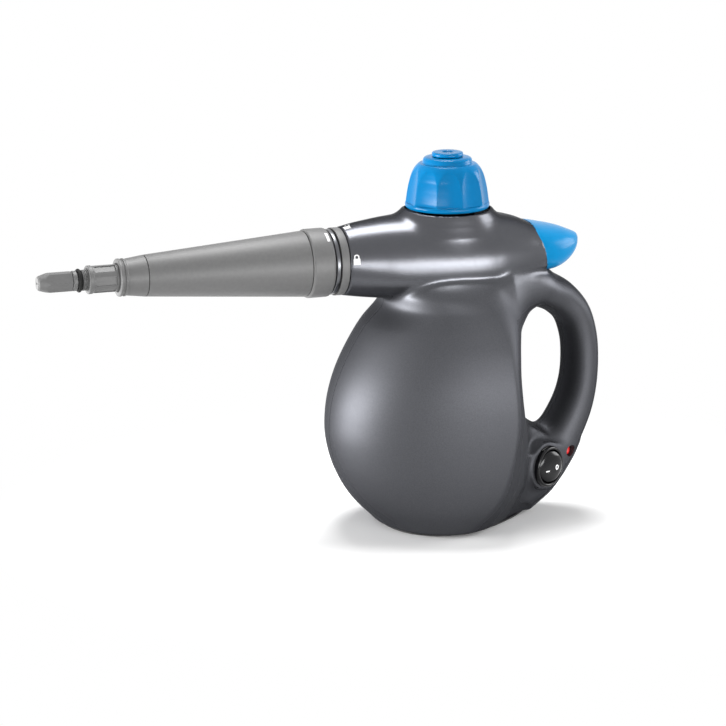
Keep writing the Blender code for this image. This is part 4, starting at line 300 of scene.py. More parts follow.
def ring_mesh(rings):
    """Points, quads and end triangles of a closed loft."""
    rings = np.asarray(rings, float)
    rows, count, _ = rings.shape
    near, far = rings[0].mean(0), rings[-1].mean(0)
    points = np.vstack([rings.reshape(-1, 3), near, far])
    i = np.arange(count)
    j = (i + 1) % count
    quads = [np.stack([r * count + i, r * count + j, (r + 1) * count + j, (r + 1) * count + i], 1)
             for r in range(rows - 1)]
    first = np.stack([j, i, np.full(count, rows * count)], 1)
    last = np.stack([(rows - 1) * count + i, (rows - 1) * count + j, np.full(count, rows * count + 1)], 1)
    return points, np.vstack(quads), np.vstack([first, last])


def lofted(name, rings):
    """A closed piece through rings of points."""
    points, quads, ends = ring_mesh(rings)
    return outward(made(name, points, [*quads, *ends]))


def turned(name, profile, place=(0, 0, 0), along=UP, sides=96, bend=None, crisp=32):
    """A turned piece from (radius, height) points. bend shifts points by their angle."""
    profile = np.asarray(profile, float)
    angles = turns(sides)
    radius = np.repeat(profile[:, :1], sides, 1)
    height = np.repeat(profile[:, 1:2], sides, 1)
    if bend is not None:
        radius, height = bend(radius, height, angles[None, :])
    grid = np.stack([radius * np.cos(angles), radius * np.sin(angles), height], 2)
    this = np.arange(len(profile) * sides).reshape(-1, sides)
    after = np.roll(this, -1, 0)
    faces = np.stack([this, np.roll(this, -1, 1), np.roll(after, -1, 1), after], 2).reshape(-1, 4)
    mesh = bpy.data.meshes.new(name)
    mesh.from_pydata((grid.reshape(-1, 3) * MM).tolist(), [], faces.tolist())
    work = bmesh.new()
    work.from_mesh(mesh)
    bmesh.ops.remove_doubles(work, verts=work.verts, dist=1e-7)
    bmesh.ops.dissolve_degenerate(work, edges=work.edges, dist=1e-7)
    bmesh.ops.recalc_face_normals(work, faces=work.faces)
    turn = along.to_track_quat("Z", "Y").to_matrix().to_4x4()
    work.transform(Matrix.Translation(Vector(place) * MM) @ turn)
    work.to_mesh(mesh)
    work.free()
    mesh.shade_smooth()
    return sharp_over(placed(name, mesh), crisp)


def rounded(profile, radius=0.4, steps=3):
    """A closed profile with its corners rounded, but for those on the axis."""
    points = [Vector(p) for p in profile]
    count = len(points)
    out = []
    for i, p in enumerate(points):
        before, after = points[i - 1] - p, points[(i + 1) % count] - p
        if p.x < 1e-6 or before.length < 1e-9 or after.length < 1e-9:
            out.append(tuple(p))
            continue
        reach = min(radius, before.length * 0.45, after.length * 0.45)
        start, end = p + before.normalized() * reach, p + after.normalized() * reach
        for s in range(steps + 1):
            t = s / steps
            out.append(tuple(start.lerp(p, t).lerp(p.lerp(end, t), t)))
    return out


def settle(item):
    """Applies the item's modifiers."""
    graph = bpy.context.evaluated_depsgraph_get()
    mesh = bpy.data.meshes.new_from_object(item.evaluated_get(graph))
    item.modifiers.clear()
    old = item.data
    item.data = mesh
    bpy.data.meshes.remove(old)
    mesh.name = item.name


def carved(item, others, operation="DIFFERENCE"):
    """Cuts other pieces from the item, joins them or keeps what is shared, and takes them away."""
    for other in others:
        change = item.modifiers.new(other.name, "BOOLEAN")
        change.operation = operation
        change.object = other
        change.solver = "MANIFOLD"
    settle(item)
    for other in others:
        bpy.data.objects.remove(other, do_unlink=True)
    return item


def box(name, low, high):
    """A block between two corners."""
    low, high = Vector(low), Vector(high)
    points = [(x, y, z) for x in (low.x, high.x) for y in (low.y, high.y) for z in (low.z, high.z)]
    faces = [(0, 1, 3, 2), (4, 6, 7, 5), (0, 4, 5, 1), (2, 3, 7, 6), (0, 2, 6, 4), (1, 5, 7, 3)]
    return outward(made(name, points, faces, False))


def rod(name, radius, start, end, sides=64):
    """A round bar between two points."""
    start, end = Vector(start), Vector(end)
    length = (end - start).length
    profile = [(0, length), (radius, length), (radius, 0), (0, 0)]
    return turned(name, profile, start, (end - start).normalized(), sides)


def spaced(name, low, high, count, axis, place, first=0.0):
    """Boxes spaced around an axis through a place, the first one turned by an angle."""
    boxes = []
    for i in range(count):
        item = box(name, low, high)
        spin = Matrix.Rotation(first + math.tau * i / count, 4, axis)
        item.data.transform(Matrix.Translation(Vector(place) * MM) @ spin)
        boxes.append(item)
    return boxes


# ---- housing field

field_low = np.floor(np.array(FIELD_LOW) / VOXEL).astype(int)
field_high = np.ceil(np.array(FIELD_HIGH) / VOXEL).astype(int)
field_shape = tuple(field_high - field_low)
field_transform = openvdb.createLinearTransform(voxelSize=VOXEL)


def field_axes():
    """Coordinates of the field's cells along each direction."""
    return [((field_low[i] + np.arange(field_shape[i])) * VOXEL).astype(np.float32) for i in range(3)]


def distance_to(rings):
    """Distance from each cell to a closed loft, negative inside."""
    points, quads, ends = ring_mesh(rings)
    grid = openvdb.FloatGrid.createLevelSetFromPolygons(
        points.astype(np.float32), triangles=ends.astype(np.uint32), quads=quads.astype(np.uint32),
        transform=field_transform, halfWidth=float(BAND))
    cells = np.empty(field_shape, np.float32)
    grid.copyToArray(cells, ijk=tuple(int(i) for i in field_low))
    return cells


def joined(a, b, radius):
    """Union of two fields with a fillet between them."""
    share = np.clip(0.5 + 0.5 * (b - a) / radius, 0, 1)
    return b + (a - b) * share - radius * share * (1 - share)


def surface_of(cells, name):
    """The mesh where the field is zero."""
    grid = openvdb.FloatGrid(background=float(BAND * VOXEL))
    grid.copyFromArray(cells, ijk=tuple(int(i) for i in field_low))
    grid.transform = field_transform
    points, quads = grid.convertToQuads(isovalue=0.0)
    return made(name, points, quads)


def pod_rings(count=150, sides=200):
    """The round tank pod, in level rings from the base up."""
    rings = []
    for height, front, centre, rear, width, power in through(pod_shares, count):
        lowest = pod_shares[0][0]
        z = POD_BOTTOM + (POD_TOP - POD_BOTTOM) * (height - lowest) / (1 - lowest)
        middle = centre * POD_FRONT
        squarer = np.interp(height, POD_TOP_BLEND, (POD_FRONT_POWER, POD_TOP_POWER))
        x, y = superellipse(turns(sides), rear * POD_REAR - middle, front * POD_FRONT + middle,
                            width * POD_HALF_WIDTH, power, squarer)
        rings.append(np.stack([middle + x, y, np.full(sides, z)], 1))
    return rings


def barrel_rings(inset=0.0, start=-math.inf, count=90, sides=120):
    """The barrel over the nozzle's axis, in upright rings from the front to the rear."""
    rings = []
    for place, up, down, width in through(barrel_shares, count):
        x = BARREL_FRONT + place * BARREL_LENGTH
        if x < start:
            continue
        sag = BARREL_SAG * min(1.0, place / SAG_RUN, max(0.0, (SAG_END - place) / SAG_RUN))
        power = BARREL_FRONT_POWER + (BARREL_POWER - BARREL_FRONT_POWER) * min(1.0, place / BARREL_POWER_RUN)
        z, y = superellipse(turns(sides), up * BARREL_UP + sag - inset, down * BARREL_DOWN - sag - inset,
                            width * BARREL_HALF_WIDTH - inset, power)
        rings.append(np.stack([np.full(sides, x), y, AXIS_HEIGHT - sag + z], 1))
    return rings


def handle_rings(count=120, sides=96):
    """The loop handle, in rings square to its curve from the barrel down to the tail."""
    rows = through(handle_shares, count)
    centres = np.stack([rows[:, 0] * HANDLE_REACH, np.zeros(count), rows[:, 1] * HANDLE_RISE], 1)
    ahead = np.gradient(centres, axis=0)
    rings = []
    for centre, way, depth, width in zip(centres, ahead, rows[:, 2], rows[:, 3]):
        out = np.array([-way[2], 0, way[0]]) / np.hypot(way[0], way[2])
        o, s = superellipse(turns(sides), depth * HANDLE_HALF_DEPTH, depth * HANDLE_HALF_DEPTH,
                            width * HANDLE_HALF_WIDTH, HANDLE_POWER)
        rings.append(centre + o[:, None] * out + s[:, None] * np.array([0, 1.0, 0]))
    return rings


def tail_nose(height):
    """Where the tail's rounded end has its centre at a height."""
    return np.interp(height / TAIL_TOP, *zip(*tail_shares)) * TAIL_REACH - TAIL_NOSE_RADIUS


def tail_rings(count=30, steps=24):
    """The tail, in level wedges with a round end."""
    rings = []
    for z in np.linspace(POD_BOTTOM, TAIL_TOP, count):
        nose = tail_nose(z)
        quarter = math.pi / 2 - TAIL_TAPER
        arc = [(nose + TAIL_NOSE_RADIUS * math.cos(a), TAIL_NOSE_RADIUS * math.sin(a), z)
               for a in np.linspace(-quarter, quarter, steps)]
        root = arc[-1][1] + (arc[-1][0] - TAIL_ROOT) * math.tan(TAIL_TAPER)
        rings.append([(TAIL_ROOT, -root, z), *arc, (TAIL_ROOT, root, z)])
    return rings


def on_flank(set_back, height, proud=0.0):
    """A point on the tail's left flank, so far ahead of its round end and out from its face."""
    nose = Vector((tail_nose(height), 0, height))
    return nose + FLANK * (TAIL_NOSE_RADIUS + proud) + FLANK_AHEAD * set_back


def lathe_rings(profile, place, sides=120):
    """Rings of a turned form around an upright axis."""
    place = np.asarray(place)
    around = np.stack([np.cos(turns(sides)), np.sin(turns(sides))], 1)
    return [np.column_stack([place + radius * around, np.full(sides, z)]) for radius, z in profile]


def rod_rings(radius, start, end, sides=64):
    """The two end rings of a round bar."""
    start, end = Vector(start), Vector(end)
    turn = (end - start).normalized().to_track_quat("Z", "Y").to_matrix()
    around = [turn @ Vector((radius * math.cos(a), radius * math.sin(a), 0)) for a in turns(sides)]
    return [[centre + way for way in around] for centre in (start, end)]


def housing_field():
    """Distance to the whole housing: pod, handle, web, tail and bosses, then the barrel."""
    xs, _, zs = field_axes()
    ahead, upward = (xs - RIM_TOP_X) * math.cos(RIM_TILT), (zs - RIM_TOP) * math.sin(RIM_TILT)
    rim = ahead[:, None, None] + upward[None, None, :]
    barrel = np.maximum(distance_to(barrel_rings()), rim)
    barrel = joined(barrel, distance_to(lathe_rings(platform_rows, (CAP_X, 0))), PLATFORM_FILLET)
    web = rod_rings(WEB_RADIUS, (WEB_X, -WEB_HALF_WIDTH, WEB_HEIGHT), (WEB_X, WEB_HALF_WIDTH, WEB_HEIGHT))
    face = on_flank(SWITCH_SET_BACK, SWITCH_HEIGHT, SWITCH_BOSS_PROUD)
    switch_boss = rod_rings(SWITCH_BOSS_RADIUS, face - FLANK * SWITCH_BOSS_ROOT, face)
    gland_boss = rod_rings(GLAND_BOSS_RADIUS, (GLAND_X, GLAND_BOSS_ROOT, GLAND_HEIGHT),
                           (GLAND_X, GLAND_FACE, GLAND_HEIGHT))
    body = distance_to(pod_rings())
    for rings, fillet in ((handle_rings(), HANDLE_FILLET), (web, WEB_FILLET), (tail_rings(), TAIL_FILLET),
                          (switch_boss, SWITCH_BOSS_FILLET), (gland_boss, GLAND_BOSS_FILLET)):
        body = joined(body, distance_to(rings), fillet)
    return joined(body, barrel, BARREL_FILLET)


def screw_tubes():
    """Distance to the round posts that the housing screws sit in, on the right side."""
    xs, ys, zs = field_axes()
    nearest = None
    for x, z in housing_screw_places:
        across = np.sqrt((xs - x)[:, None, None] ** 2 + (zs - z)[None, None, :] ** 2) - SCREW_POST_RADIUS
        post = np.maximum(across, -ys[None, :, None])
        nearest = post if nearest is None else np.minimum(nearest, post)
    return nearest


def foot_rings(rows, sides=200):
    """The foot's outline at rows of inset and height."""
    rings = []
    for inset, z in rows:
        x, y = superellipse(turns(sides), FOOT_REAR - inset, FOOT_FRONT - inset, FOOT_HALF_WIDTH - inset,
                            FOOT_REAR_POWER, FOOT_FRONT_POWER)
        rings.append(np.stack([FOOT_CENTRE + x, y, np.full(sides, z)], 1))
    return rings


def housing_holes():
    """Cutters for every opening in the housing."""
    above = FIELD_HIGH[2]
    neck = [(0, above), (WELL_RADIUS, above), (WELL_RADIUS, WELL_FLOOR), (NECK_HOLE_RADIUS, WELL_FLOOR),
            (NECK_HOLE_RADIUS, NECK_HOLE_BOTTOM), (0, NECK_HOLE_BOTTOM)]
    mouth = barrel_rings(MOUTH_INSET, MOUTH_START)
    shifts = np.linspace(0, MOUTH_OVERRUN, len(mouth))
    mouth = [ring + np.array([shift, 0, 0]) for ring, shift in zip(mouth, shifts)]
    switch_face = on_flank(SWITCH_SET_BACK, SWITCH_HEIGHT, SWITCH_BOSS_PROUD)
    light_face = on_flank(LIGHT_SET_BACK, LIGHT_HEIGHT)
    return [
        lofted("foot_opening", foot_rings(foot_opening, 120)),
        rod("socket_hole", SOCKET_HOLE_RADIUS, (BARREL_FRONT - SOCKET_HOLE_REACH, 0, AXIS_HEIGHT),
            (BARREL_FRONT + SOCKET_HOLE_REACH, 0, AXIS_HEIGHT)),
        turned("neck_hole", neck, (CAP_X, 0, 0)),
        lofted("barrel_mouth", mouth),
        rod("switch_hole", SWITCH_HOLE_RADIUS, switch_face - FLANK * SWITCH_HOLE_DEPTH,
            switch_face + FLANK * HOLE_OVERRUN),
        rod("light_hole", LIGHT_HOLE_RADIUS, light_face - FLANK * LIGHT_HOLE_DEPTH,
            light_face + FLANK * HOLE_OVERRUN),
        rod("gland_hole", GLAND_HOLE_RADIUS, (GLAND_X, GLAND_HOLE_ROOT, GLAND_HEIGHT),
            (GLAND_X, GLAND_FACE + GLAND_BOSS_ROOT, GLAND_HEIGHT)),
        *[turned("screw_bore", housing_screw_bore, (x, 0, z), RIGHT_HAND, 32)
          for x, z in housing_screw_places],
    ]


def housing():
    """Both shells: outer and inner skins taken from one field, then bored and parted."""
    cells = housing_field()
    shell = surface_of(cells, "shell_form")
    hollow = surface_of(np.maximum(cells + WALL, -screw_tubes()), "shell_hollow")
    carved(shell, [hollow, *housing_holes()])
    for name, side, solid in (("housing_left", -1, "left_shell"), ("housing_right", 1, "right_shell")):
        half = placed(name, shell.data.copy())
        near, far = sorted((side * PARTING_HALF_GAP, side * SHELL_REACH))
        low = (SHELL_BOX_LOW[0], near, SHELL_BOX_LOW[1])
        high = (SHELL_BOX_HIGH[0], far, SHELL_BOX_HIGH[1])
        carved(half, [box(f"{name}_side", low, high)], "INTERSECT")
        half.data.shade_smooth()
        sharp_over(half, 38)
        wear(half, "shell_paint", "housing", solid)
    bpy.data.objects.remove(shell, do_unlink=True)


# ---- materials


def linear(code):
    """A #rrggbb colour in linear values."""
    values = [int(code[i:i + 2], 16) / 255 for i in (1, 3, 5)]
    return (*[v / 12.92 if v <= 0.04045 else ((v + 0.055) / 1.055) ** 2.4 for v in values], 1.0)


def node(tree, kind, settings=None, **links):
    """Adds a node, sets what settings names and links the sockets."""
    made_node = tree.nodes.new(kind)
    for key, value in (settings or {}).items():
        if key in made_node.inputs:
            made_node.inputs[key].default_value = value
        else:
            setattr(made_node, key, value)
    for key, source in links.items():
        tree.links.new(source, made_node.inputs[key.replace("_", " ")])
    return made_node


def finish(name, colour, roughness, **more):
    """A material with its Principled shader, ready for patterns."""
    material = bpy.data.materials.new(name)
    material.use_nodes = True
    tree = material.node_tree
    shader = tree.nodes["Principled BSDF"]
    shader.inputs["Base Color"].default_value = linear(colour)
    shader.inputs["Roughness"].default_value = roughness
    for key, value in more.items():
        shader.inputs[key.replace("_", " ")].default_value = value
    return material, tree, shader


def per_mm(size):
    """Pattern scale for features of so many millimetres."""
    return 1 / (size * MM)


def grained(tree, shader, size, depth):
    """Fine moulded grain as bump. Gives the coordinates that it follows."""
    place = node(tree, "ShaderNodeTexCoord").outputs["Object"]
    noise = node(tree, "ShaderNodeTexNoise", {"Scale": per_mm(size), "Detail": 2.0}, Vector=place)
    relief = {"Strength": 0.5, "Distance": depth * MM}
    bump = node(tree, "ShaderNodeBump", relief, Height=noise.outputs["Fac"])
    tree.links.new(bump.outputs["Normal"], shader.inputs["Normal"])
    return place


# noise values of a speckle's dark and light colour
SPECKLE_RANGE = (0.35, 0.65)


def speckled(tree, shader, place, dark, light, size):
    """Two close colours mixed by noise. Gives the colour that it links."""
    noise = node(tree, "ShaderNodeTexNoise", {"Scale": per_mm(size), "Detail": 3.0}, Vector=place)
    ramp = node(tree, "ShaderNodeValToRGB", Fac=noise.outputs["Fac"])
    for stop, position, colour in zip(ramp.color_ramp.elements, SPECKLE_RANGE, (dark, light)):
        stop.position = position
        stop.color = linear(colour)
    tree.links.new(ramp.outputs["Color"], shader.inputs["Base Color"])
    return ramp.outputs["Color"]


# heights in metres over which the barrel's gloss sets in and the pod's painted shade fades out
GLOSS_AND_LIGHT_FROM, GLOSS_AND_LIGHT_TO = 0.122, 0.142


def make_gunmetal_paint():
    # Sprayed metallic lacquer on ABS: fine dark flake, drawn coarser than it is so that it shows, rougher on
    # the pod and glossier on the barrel, with painted shade darkening the pod's colour below the barrel
    material, tree, shader = finish("gunmetal_metallic_paint", "#434447", 0.5, Metallic=0.85,
                                    Specular_Tint=linear("#77787b"))
    place = grained(tree, shader, 0.35, 0.006)
    flake = speckled(tree, shader, place, "#515256", "#595a5e", 0.5)
    height = node(tree, "ShaderNodeSeparateXYZ", Vector=place)
    rise = {"interpolation_type": "SMOOTHSTEP", "From Min": GLOSS_AND_LIGHT_FROM, "From Max": GLOSS_AND_LIGHT_TO}
    gloss_and_painted_light = node(tree, "ShaderNodeMapRange", rise, Value=height.outputs["Z"]).outputs["Result"]
    gloss = node(tree, "ShaderNodeMapRange", {"To Min": 0.54, "To Max": 0.27}, Value=gloss_and_painted_light)
    tree.links.new(gloss.outputs["Result"], shader.inputs["Roughness"])
    # painted shade: below the barrel the colour is mixed a third of the way to near black, so the barrel
    # reads lighter as if more lit
    depth = node(tree, "ShaderNodeMapRange", {"To Min": 0.35, "To Max": 0.0}, Value=gloss_and_painted_light).outputs["Result"]
    painted_pod_shade = node(tree, "ShaderNodeMixRGB", {"Color2": linear("#101012")}, Fac=depth, Color1=flake)
    tree.links.new(painted_pod_shade.outputs["Color"], shader.inputs["Base Color"])
    return material


def moulded(name, dark, light, roughness, size=0.4, depth=0.01, **more):
    """A finish with a grain of so many millimetres and a faint, six times wider speckle."""
    material, tree, shader = finish(name, dark, roughness, **more)
    place = grained(tree, shader, size, depth)
    speckled(tree, shader, place, dark, light, size * 6)
    return material


# the finish of each slot of the record
slot_finishes = {
    "shell_paint": make_gunmetal_paint(),
    # Spark-eroded grey polyamide: an even, nearly matte face
    "nozzle_grey": moulded("textured_grey_polyamide", "#5c5c5c", "#606060", 0.5, 0.3, 0.012),
    # Polished blue ABS: clean gloss with no visible grain
    "blue_plastic": moulded("polished_blue_abs", "#00669a", "#00699e", 0.2, 0.8, 0.002,
                            Specular_IOR_Level=0.12),
    # Moulded black polyamide: satin with a faint grain
    "black_plastic": moulded("satin_black_polyamide", "#141415", "#19191a", 0.42, 0.3, 0.006),
    # Black silicone and sole rubber: dull and slightly dusty
    "rubber": moulded("dull_black_rubber", "#0b0b0b", "#101010", 0.7, 0.3, 0.02, Specular_IOR_Level=0.25),
    # Red polycarbonate lens: saturated and glossy
    "red_lens": moulded("red_polycarbonate_lens", "#c81e1e", "#d22424", 0.15, 0.8, 0.001, Coat_Weight=0.5),
    # Bright-metal ring, its colour darkened as a painted dark reflection: smooth, with a soft shine
    "bright_metal": moulded("bright_ring_painted_dark_reflection", "#5f6063", "#646568", 0.3, 0.4, 0.002, Metallic=1.0),
    # Inner mouldings in dark grey polyamide: dull, never polished
    "inner_plastic": moulded("dark_inner_polyamide", "#2c2c2c", "#303030", 0.55),
    # Cast aluminium of the tank: bright grey with a sandy skin
    "aluminium": moulded("cast_aluminium", "#a9a9a9", "#b2b2b2", 0.42, 0.5, 0.02, Metallic=1.0),
    # Turned brass fittings: warm yellow with a soft machined shine
    "brass": moulded("turned_brass", "#b08d4a", "#b8954f", 0.35, 0.5, 0.004, Metallic=1.0),
    # Zinc-plated steel screws and springs: light grey satin
    "steel": moulded("zinc_plated_steel", "#9a9a9a", "#a2a2a2", 0.38, 0.4, 0.004, Metallic=1.0),
    # Red silicone wire jackets: even and matte
    "wire_jacket": moulded("red_silicone_jacket", "#9c2a22", "#a02e26", 0.5),
}
# Trigger in the blue ABS too, its colour painted a shade lighter as painted light on a lit part, and a little
# less glossy
painted_light_blue_abs = moulded("painted_light_blue_abs", "#0074a8", "#0077ac", 0.26, 0.8, 0.002, Specular_IOR_Level=0.12)
# Switch in polished black: mirror-like gloss
gloss_black = moulded("polished_black_polyamide", "#08080a", "#0b0b0d", 0.16, 0.8, 0.001,
                      Specular_IOR_Level=0.25)
# Pad-printed white ink: flat and matte
white_ink = moulded("white_pad_print", "#e6e6e6", "#ebebeb", 0.6, 0.3, 0.001)


def wear(item, slot, body, *solids, material=None):
    """Gives a piece its slot's finish or one of its own and its body, and hides the solids it stands for."""
    item.data.materials.clear()
    item.data.materials.append(material or slot_finishes[slot])
    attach(item, body)
    if solids:
        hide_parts(*solids)


def dress_solids():
    """Procedural finishes for the solids that stay."""
    slots = {row["node"]: row["material_slot"] for row in frame["record"]["subparts"]}
    for name, item in frame["nodes"].items():
        item.data.materials.clear()
        item.data.materials.append(slot_finishes[slots[name]])


# ---- nozzle


def forward(name, profile, sides=128, crisp=30):
    """A piece turned about the nozzle's axis, its profile measured forward from the origin."""
    return turned(name, profile, ON_AXIS, FORWARD, sides, crisp=crisp)


def nozzle():
    """The nozzle's rings and lengths from the barrel forward. Profiles are rows of radius and reach."""
    socket = [(18.2, 65.8), (18.2, 70.2), (12.3, 70.2), (12.3, 73.1), (9.8, 73.1), (9.8, 62.8), (11.9, 62.8),
              (11.9, 54.5), (12.9, 54.5), (12.9, 62.4), (12.9, 65.8)]
    entries = spaced("lug_entry", (-79, -3.4, 5), (-62.5, 3.4, 11.4), 2, "X", ON_AXIS, math.radians(-20))
    ring = carved(forward("socket_ring", rounded(socket, 0.45)), entries)
    wear(sharp_over(ring, 30), "nozzle_grey", "housing", "bayonet_socket")
    trim = [(17.6, 70.5), (17.6, 73.1), (12.6, 73.1), (12.6, 70.5)]
    wear(forward("bright_trim", rounded(trim, 0.9, 6)), "bright_metal", "housing", "trim_ring")
    collar = [(15.4, 86.0), (17.9, 86.0), (18.5, 85.0), (18.5, 74.6), (17.6, 73.5), (9.4, 73.4), (9.4, 58.0),
              (6.6, 58.0), (6.6, 77.0), (15.4, 77.0)]
    lugs = spaced("lug", (-62, -3, 8), (-59, 3, 11.1), 2, "X", ON_AXIS)
    collar = carved(forward("turning_collar", rounded(collar, 0.6)), lugs, "UNION")
    wear(sharp_over(collar, 30), "nozzle_grey", "nozzle", "nozzle_collar")
    cone = [(11.0, 174.2), (17.65, 86.3), (15.1, 86.3), (15.1, 79.3), (13.1, 79.3), (13.1, 86.3),
            (9.0, 174.2)]
    wear(forward("cone", rounded(cone, 0.3)), "nozzle_grey", "nozzle", "nozzle_cone")
    front = [(9.3, 189.2), (10.0, 188.8), (10.0, 187.6), (9.5, 187.2), (9.5, 186.7), (10.0, 186.3),
             (10.0, 185.4), (9.6, 185.0), (11.0, 174.5), (8.7, 174.5), (8.7, 170.0), (7.6, 170.0),
             (7.6, 189.2)]
    wear(forward("front_length", rounded(front, 0.22)), "nozzle_grey", "nozzle", "nozzle_front")
    spigot()
    hexagon = [(5.5, 232.0), (5.5, 213.8), (1.7, 213.8), (1.7, 208.5), (0.8, 208.5), (0.8, 232.0)]
    taper = [(0, 232.0), (3.3, 232.0), (3.9, 231.2), (5.7, 225.0), (6.4, 205.0), (0, 205.0)]
    tip = carved(forward("hex_tip", hexagon, 6), [forward("tip_cone", taper, 96)], "INTERSECT")
    wear(sharp_over(tip, 20), "nozzle_grey", "nozzle", "jet_tip")


O_RING_RADIUS = 5.3
O_RING_REACH = 209.8
O_RING_SECTION = 0.95


def spigot():
    """Tool spigot: slotted barrel between two rims, ringed neck and the groove of the O-ring."""
    outer = [(5.0, 213.5), (5.3, 213.2), (5.3, 211.2), (3.9, 211.2), (3.9, 208.4), (5.3, 208.4)]
    for groove in (207.7, 206.9, 206.1):
        outer += [(5.5, groove + 0.2), (5.15, groove), (5.5, groove - 0.2)]
    outer += [(5.5, 205.3), (7.3, 205.3), (7.5, 204.9), (7.5, 203.1), (7.2, 202.7), (7.2, 190.2),
              (7.3, 190.0), (7.3, 180.0)]
    inner = [(5.9, 180.0), (5.9, 203.5), (2.0, 203.5), (2.0, 213.5)]
    item = forward("slotted_spigot", rounded(outer + inner, 0.18, 2), 144)
    first = math.radians(30)
    carved(item, spaced("wide_pocket", (-202, -2.3, 6.4), (-190.6, 2.3, 12), 6, "X", ON_AXIS, first))
    wear(sharp_over(item, 28), "nozzle_grey", "nozzle", "tool_spigot")
    section = [(O_RING_RADIUS + O_RING_SECTION * math.cos(a), O_RING_REACH + O_RING_SECTION * math.sin(a))
               for a in turns(20)]
    wear(forward("soft_o_ring", section, 96, 80), "rubber", "nozzle", "spigot_o_ring")


# ---- cap

CAP_BASE = 174.2
CAP_TOP = 201.5
CAP_RADIUS = 22.8
CAP_FLUTES = 10
CAP_FLUTE_DEPTH = 1.7
# where the flutes begin and how soon they deepen, as shares of the cap's height
FLUTE_START = 0.085
FLUTE_RUN = 0.02
FLUTE_SOFTNESS = 0.004
# height, radius: the lip, and the stepped crown
cap_lip = ((0.000, 0.972), (0.010, 0.984), (0.030, 0.998), (0.050, 1.002), (0.070, 1.001), (0.083, 0.996))
cap_crown = ((0.868, 0.680), (0.872, 0.660), (0.874, 0.625), (0.876, 0.600), (0.884, 0.590), (0.905, 0.586),
             (0.950, 0.576), (0.972, 0.562), (0.988, 0.535), (1.000, 0.470))
# height, radius, depth of the flutes: the bell between them, up to its shoulder
cap_bell = ((0.085, 0.993, 0.0), (0.100, 0.989, 0.9), (0.130, 0.984, 1.0), (0.370, 0.942, 1.0),
            (0.560, 0.890, 0.86), (0.680, 0.843, 0.55), (0.770, 0.788, 0.18), (0.830, 0.730, 0.0),
            (0.862, 0.690, 0.0))


def cap_points(rows):
    """Radius and height in millimetres from rows of shares."""
    return [(row[1] * CAP_RADIUS, CAP_BASE + row[0] * (CAP_TOP - CAP_BASE)) for row in rows]


def fluted(outer_rows):
    """A bend that scoops ten hollows into the first rows. They run out in arches below the shoulder."""

    def bend(radius, height, angle):
        share = (height - CAP_BASE) / (CAP_TOP - CAP_BASE)
        depth = np.interp(share[:, 0], [row[0] for row in cap_bell], [row[2] for row in cap_bell])
        across = (angle * CAP_FLUTES / math.pi + 1) % 2 - 1
        scoop = depth[:, None] - across**2
        scoop = (scoop + np.sqrt(scoop**2 + FLUTE_SOFTNESS)) / 2
        outer = np.arange(len(radius))[:, None] < outer_rows
        fade = np.clip((share - FLUTE_START) / FLUTE_RUN, 0, 1)
        return np.where(outer, radius - CAP_FLUTE_DEPTH * scoop * fade, radius), height + 0 * angle

    return bend


def cap():
    """The fluted cap with its inner sleeve, and the disc on its crown."""
    outside = cap_points(cap_lip) + cap_points(through(cap_bell, 60))
    bend = fluted(len(outside))
    outside += cap_points(cap_crown)
    inside = [(6.0, 201.5), (6.0, 196.2), (2.2, 196.2), (2.2, 194.0), (9.6, 194.0), (9.6, 178.8),
              (14.5, 178.8), (14.5, 192.0), (15.0, 192.0), (17.2, 188.5), (19.6, 174.2)]
    item = turned("fluted_cap", outside + inside, (CAP_X, 0, 0), UP, 360, bend, 40)
    carved(item, spaced("sleeve_slot", (9.2, -3.0, 178.4), (14.9, 3.0, 181.2), 8, "Z", (CAP_X, 0, 0)))
    wear(sharp_over(item, 40), "blue_plastic", "cap", "cap_shell")
    disc = [(0, 203.0), (1.2, 203.02), (2.1, 203.15), (2.6, 203.5), (2.85, 203.85), (3.2, 204.0),
            (7.6, 204.0), (8.15, 203.85), (8.4, 203.4), (8.4, 202.1), (8.2, 201.8), (5.7, 201.8),
            (5.7, 201.3), (0, 201.3)]
    item = turned("crown_disc", disc, (CAP_X, 0, 0), UP, 120, crisp=50)
    wear(item, "blue_plastic", "cap", "cap_disc")
    plug_thread()


def plug_thread():
    """Shallow thread ridge around the plug, fading at both ends."""
    points, faces = [], []
    steps, laps, pitch, start, core, fade_steps = 60, 2.2, 4.0, 160.9, 9.9, 8
    for i in range(int(steps * laps) + 1):
        angle = math.tau * i / steps
        crest = 10.2 + 0.28 * min(1.0, i / fade_steps, (steps * laps - i) / fade_steps)
        z = start + pitch * i / steps
        for radius, shift in ((core, -0.75), (crest, -0.2), (crest, 0.2), (core, 0.75)):
            points.append((CAP_X + radius * math.cos(angle), radius * math.sin(angle), z + shift))
        if i:
            a, b = 4 * (i - 1), 4 * i
            faces += [(a + k, b + k, b + (k + 1) % 4, a + (k + 1) % 4) for k in range(4)]
    last = len(points) - 1
    faces += [(0, 1, 2, 3), (last, last - 1, last - 2, last - 3)]
    item = outward(made("plug_thread", points, faces))
    wear(sharp_over(item, 30), "black_plastic", "plug")


# ---- trigger

TRIGGER_ROOT = 40.0
TRIGGER_REACH = 71.5
TRIGGER_HALF_WIDTH = 22.5
TRIGGER_UP = 15.0
TRIGGER_DOWN = 12.0
TRIGGER_POWER = 2.3
TRIGGER_TILT = math.radians(15.5)
TRIGGER_GAP = 1.0
PIVOT_X = 40.0
PIVOT_HEIGHT = 146.0
PIVOT_BORE = 1.9
HUB_RADIUS = 4.0
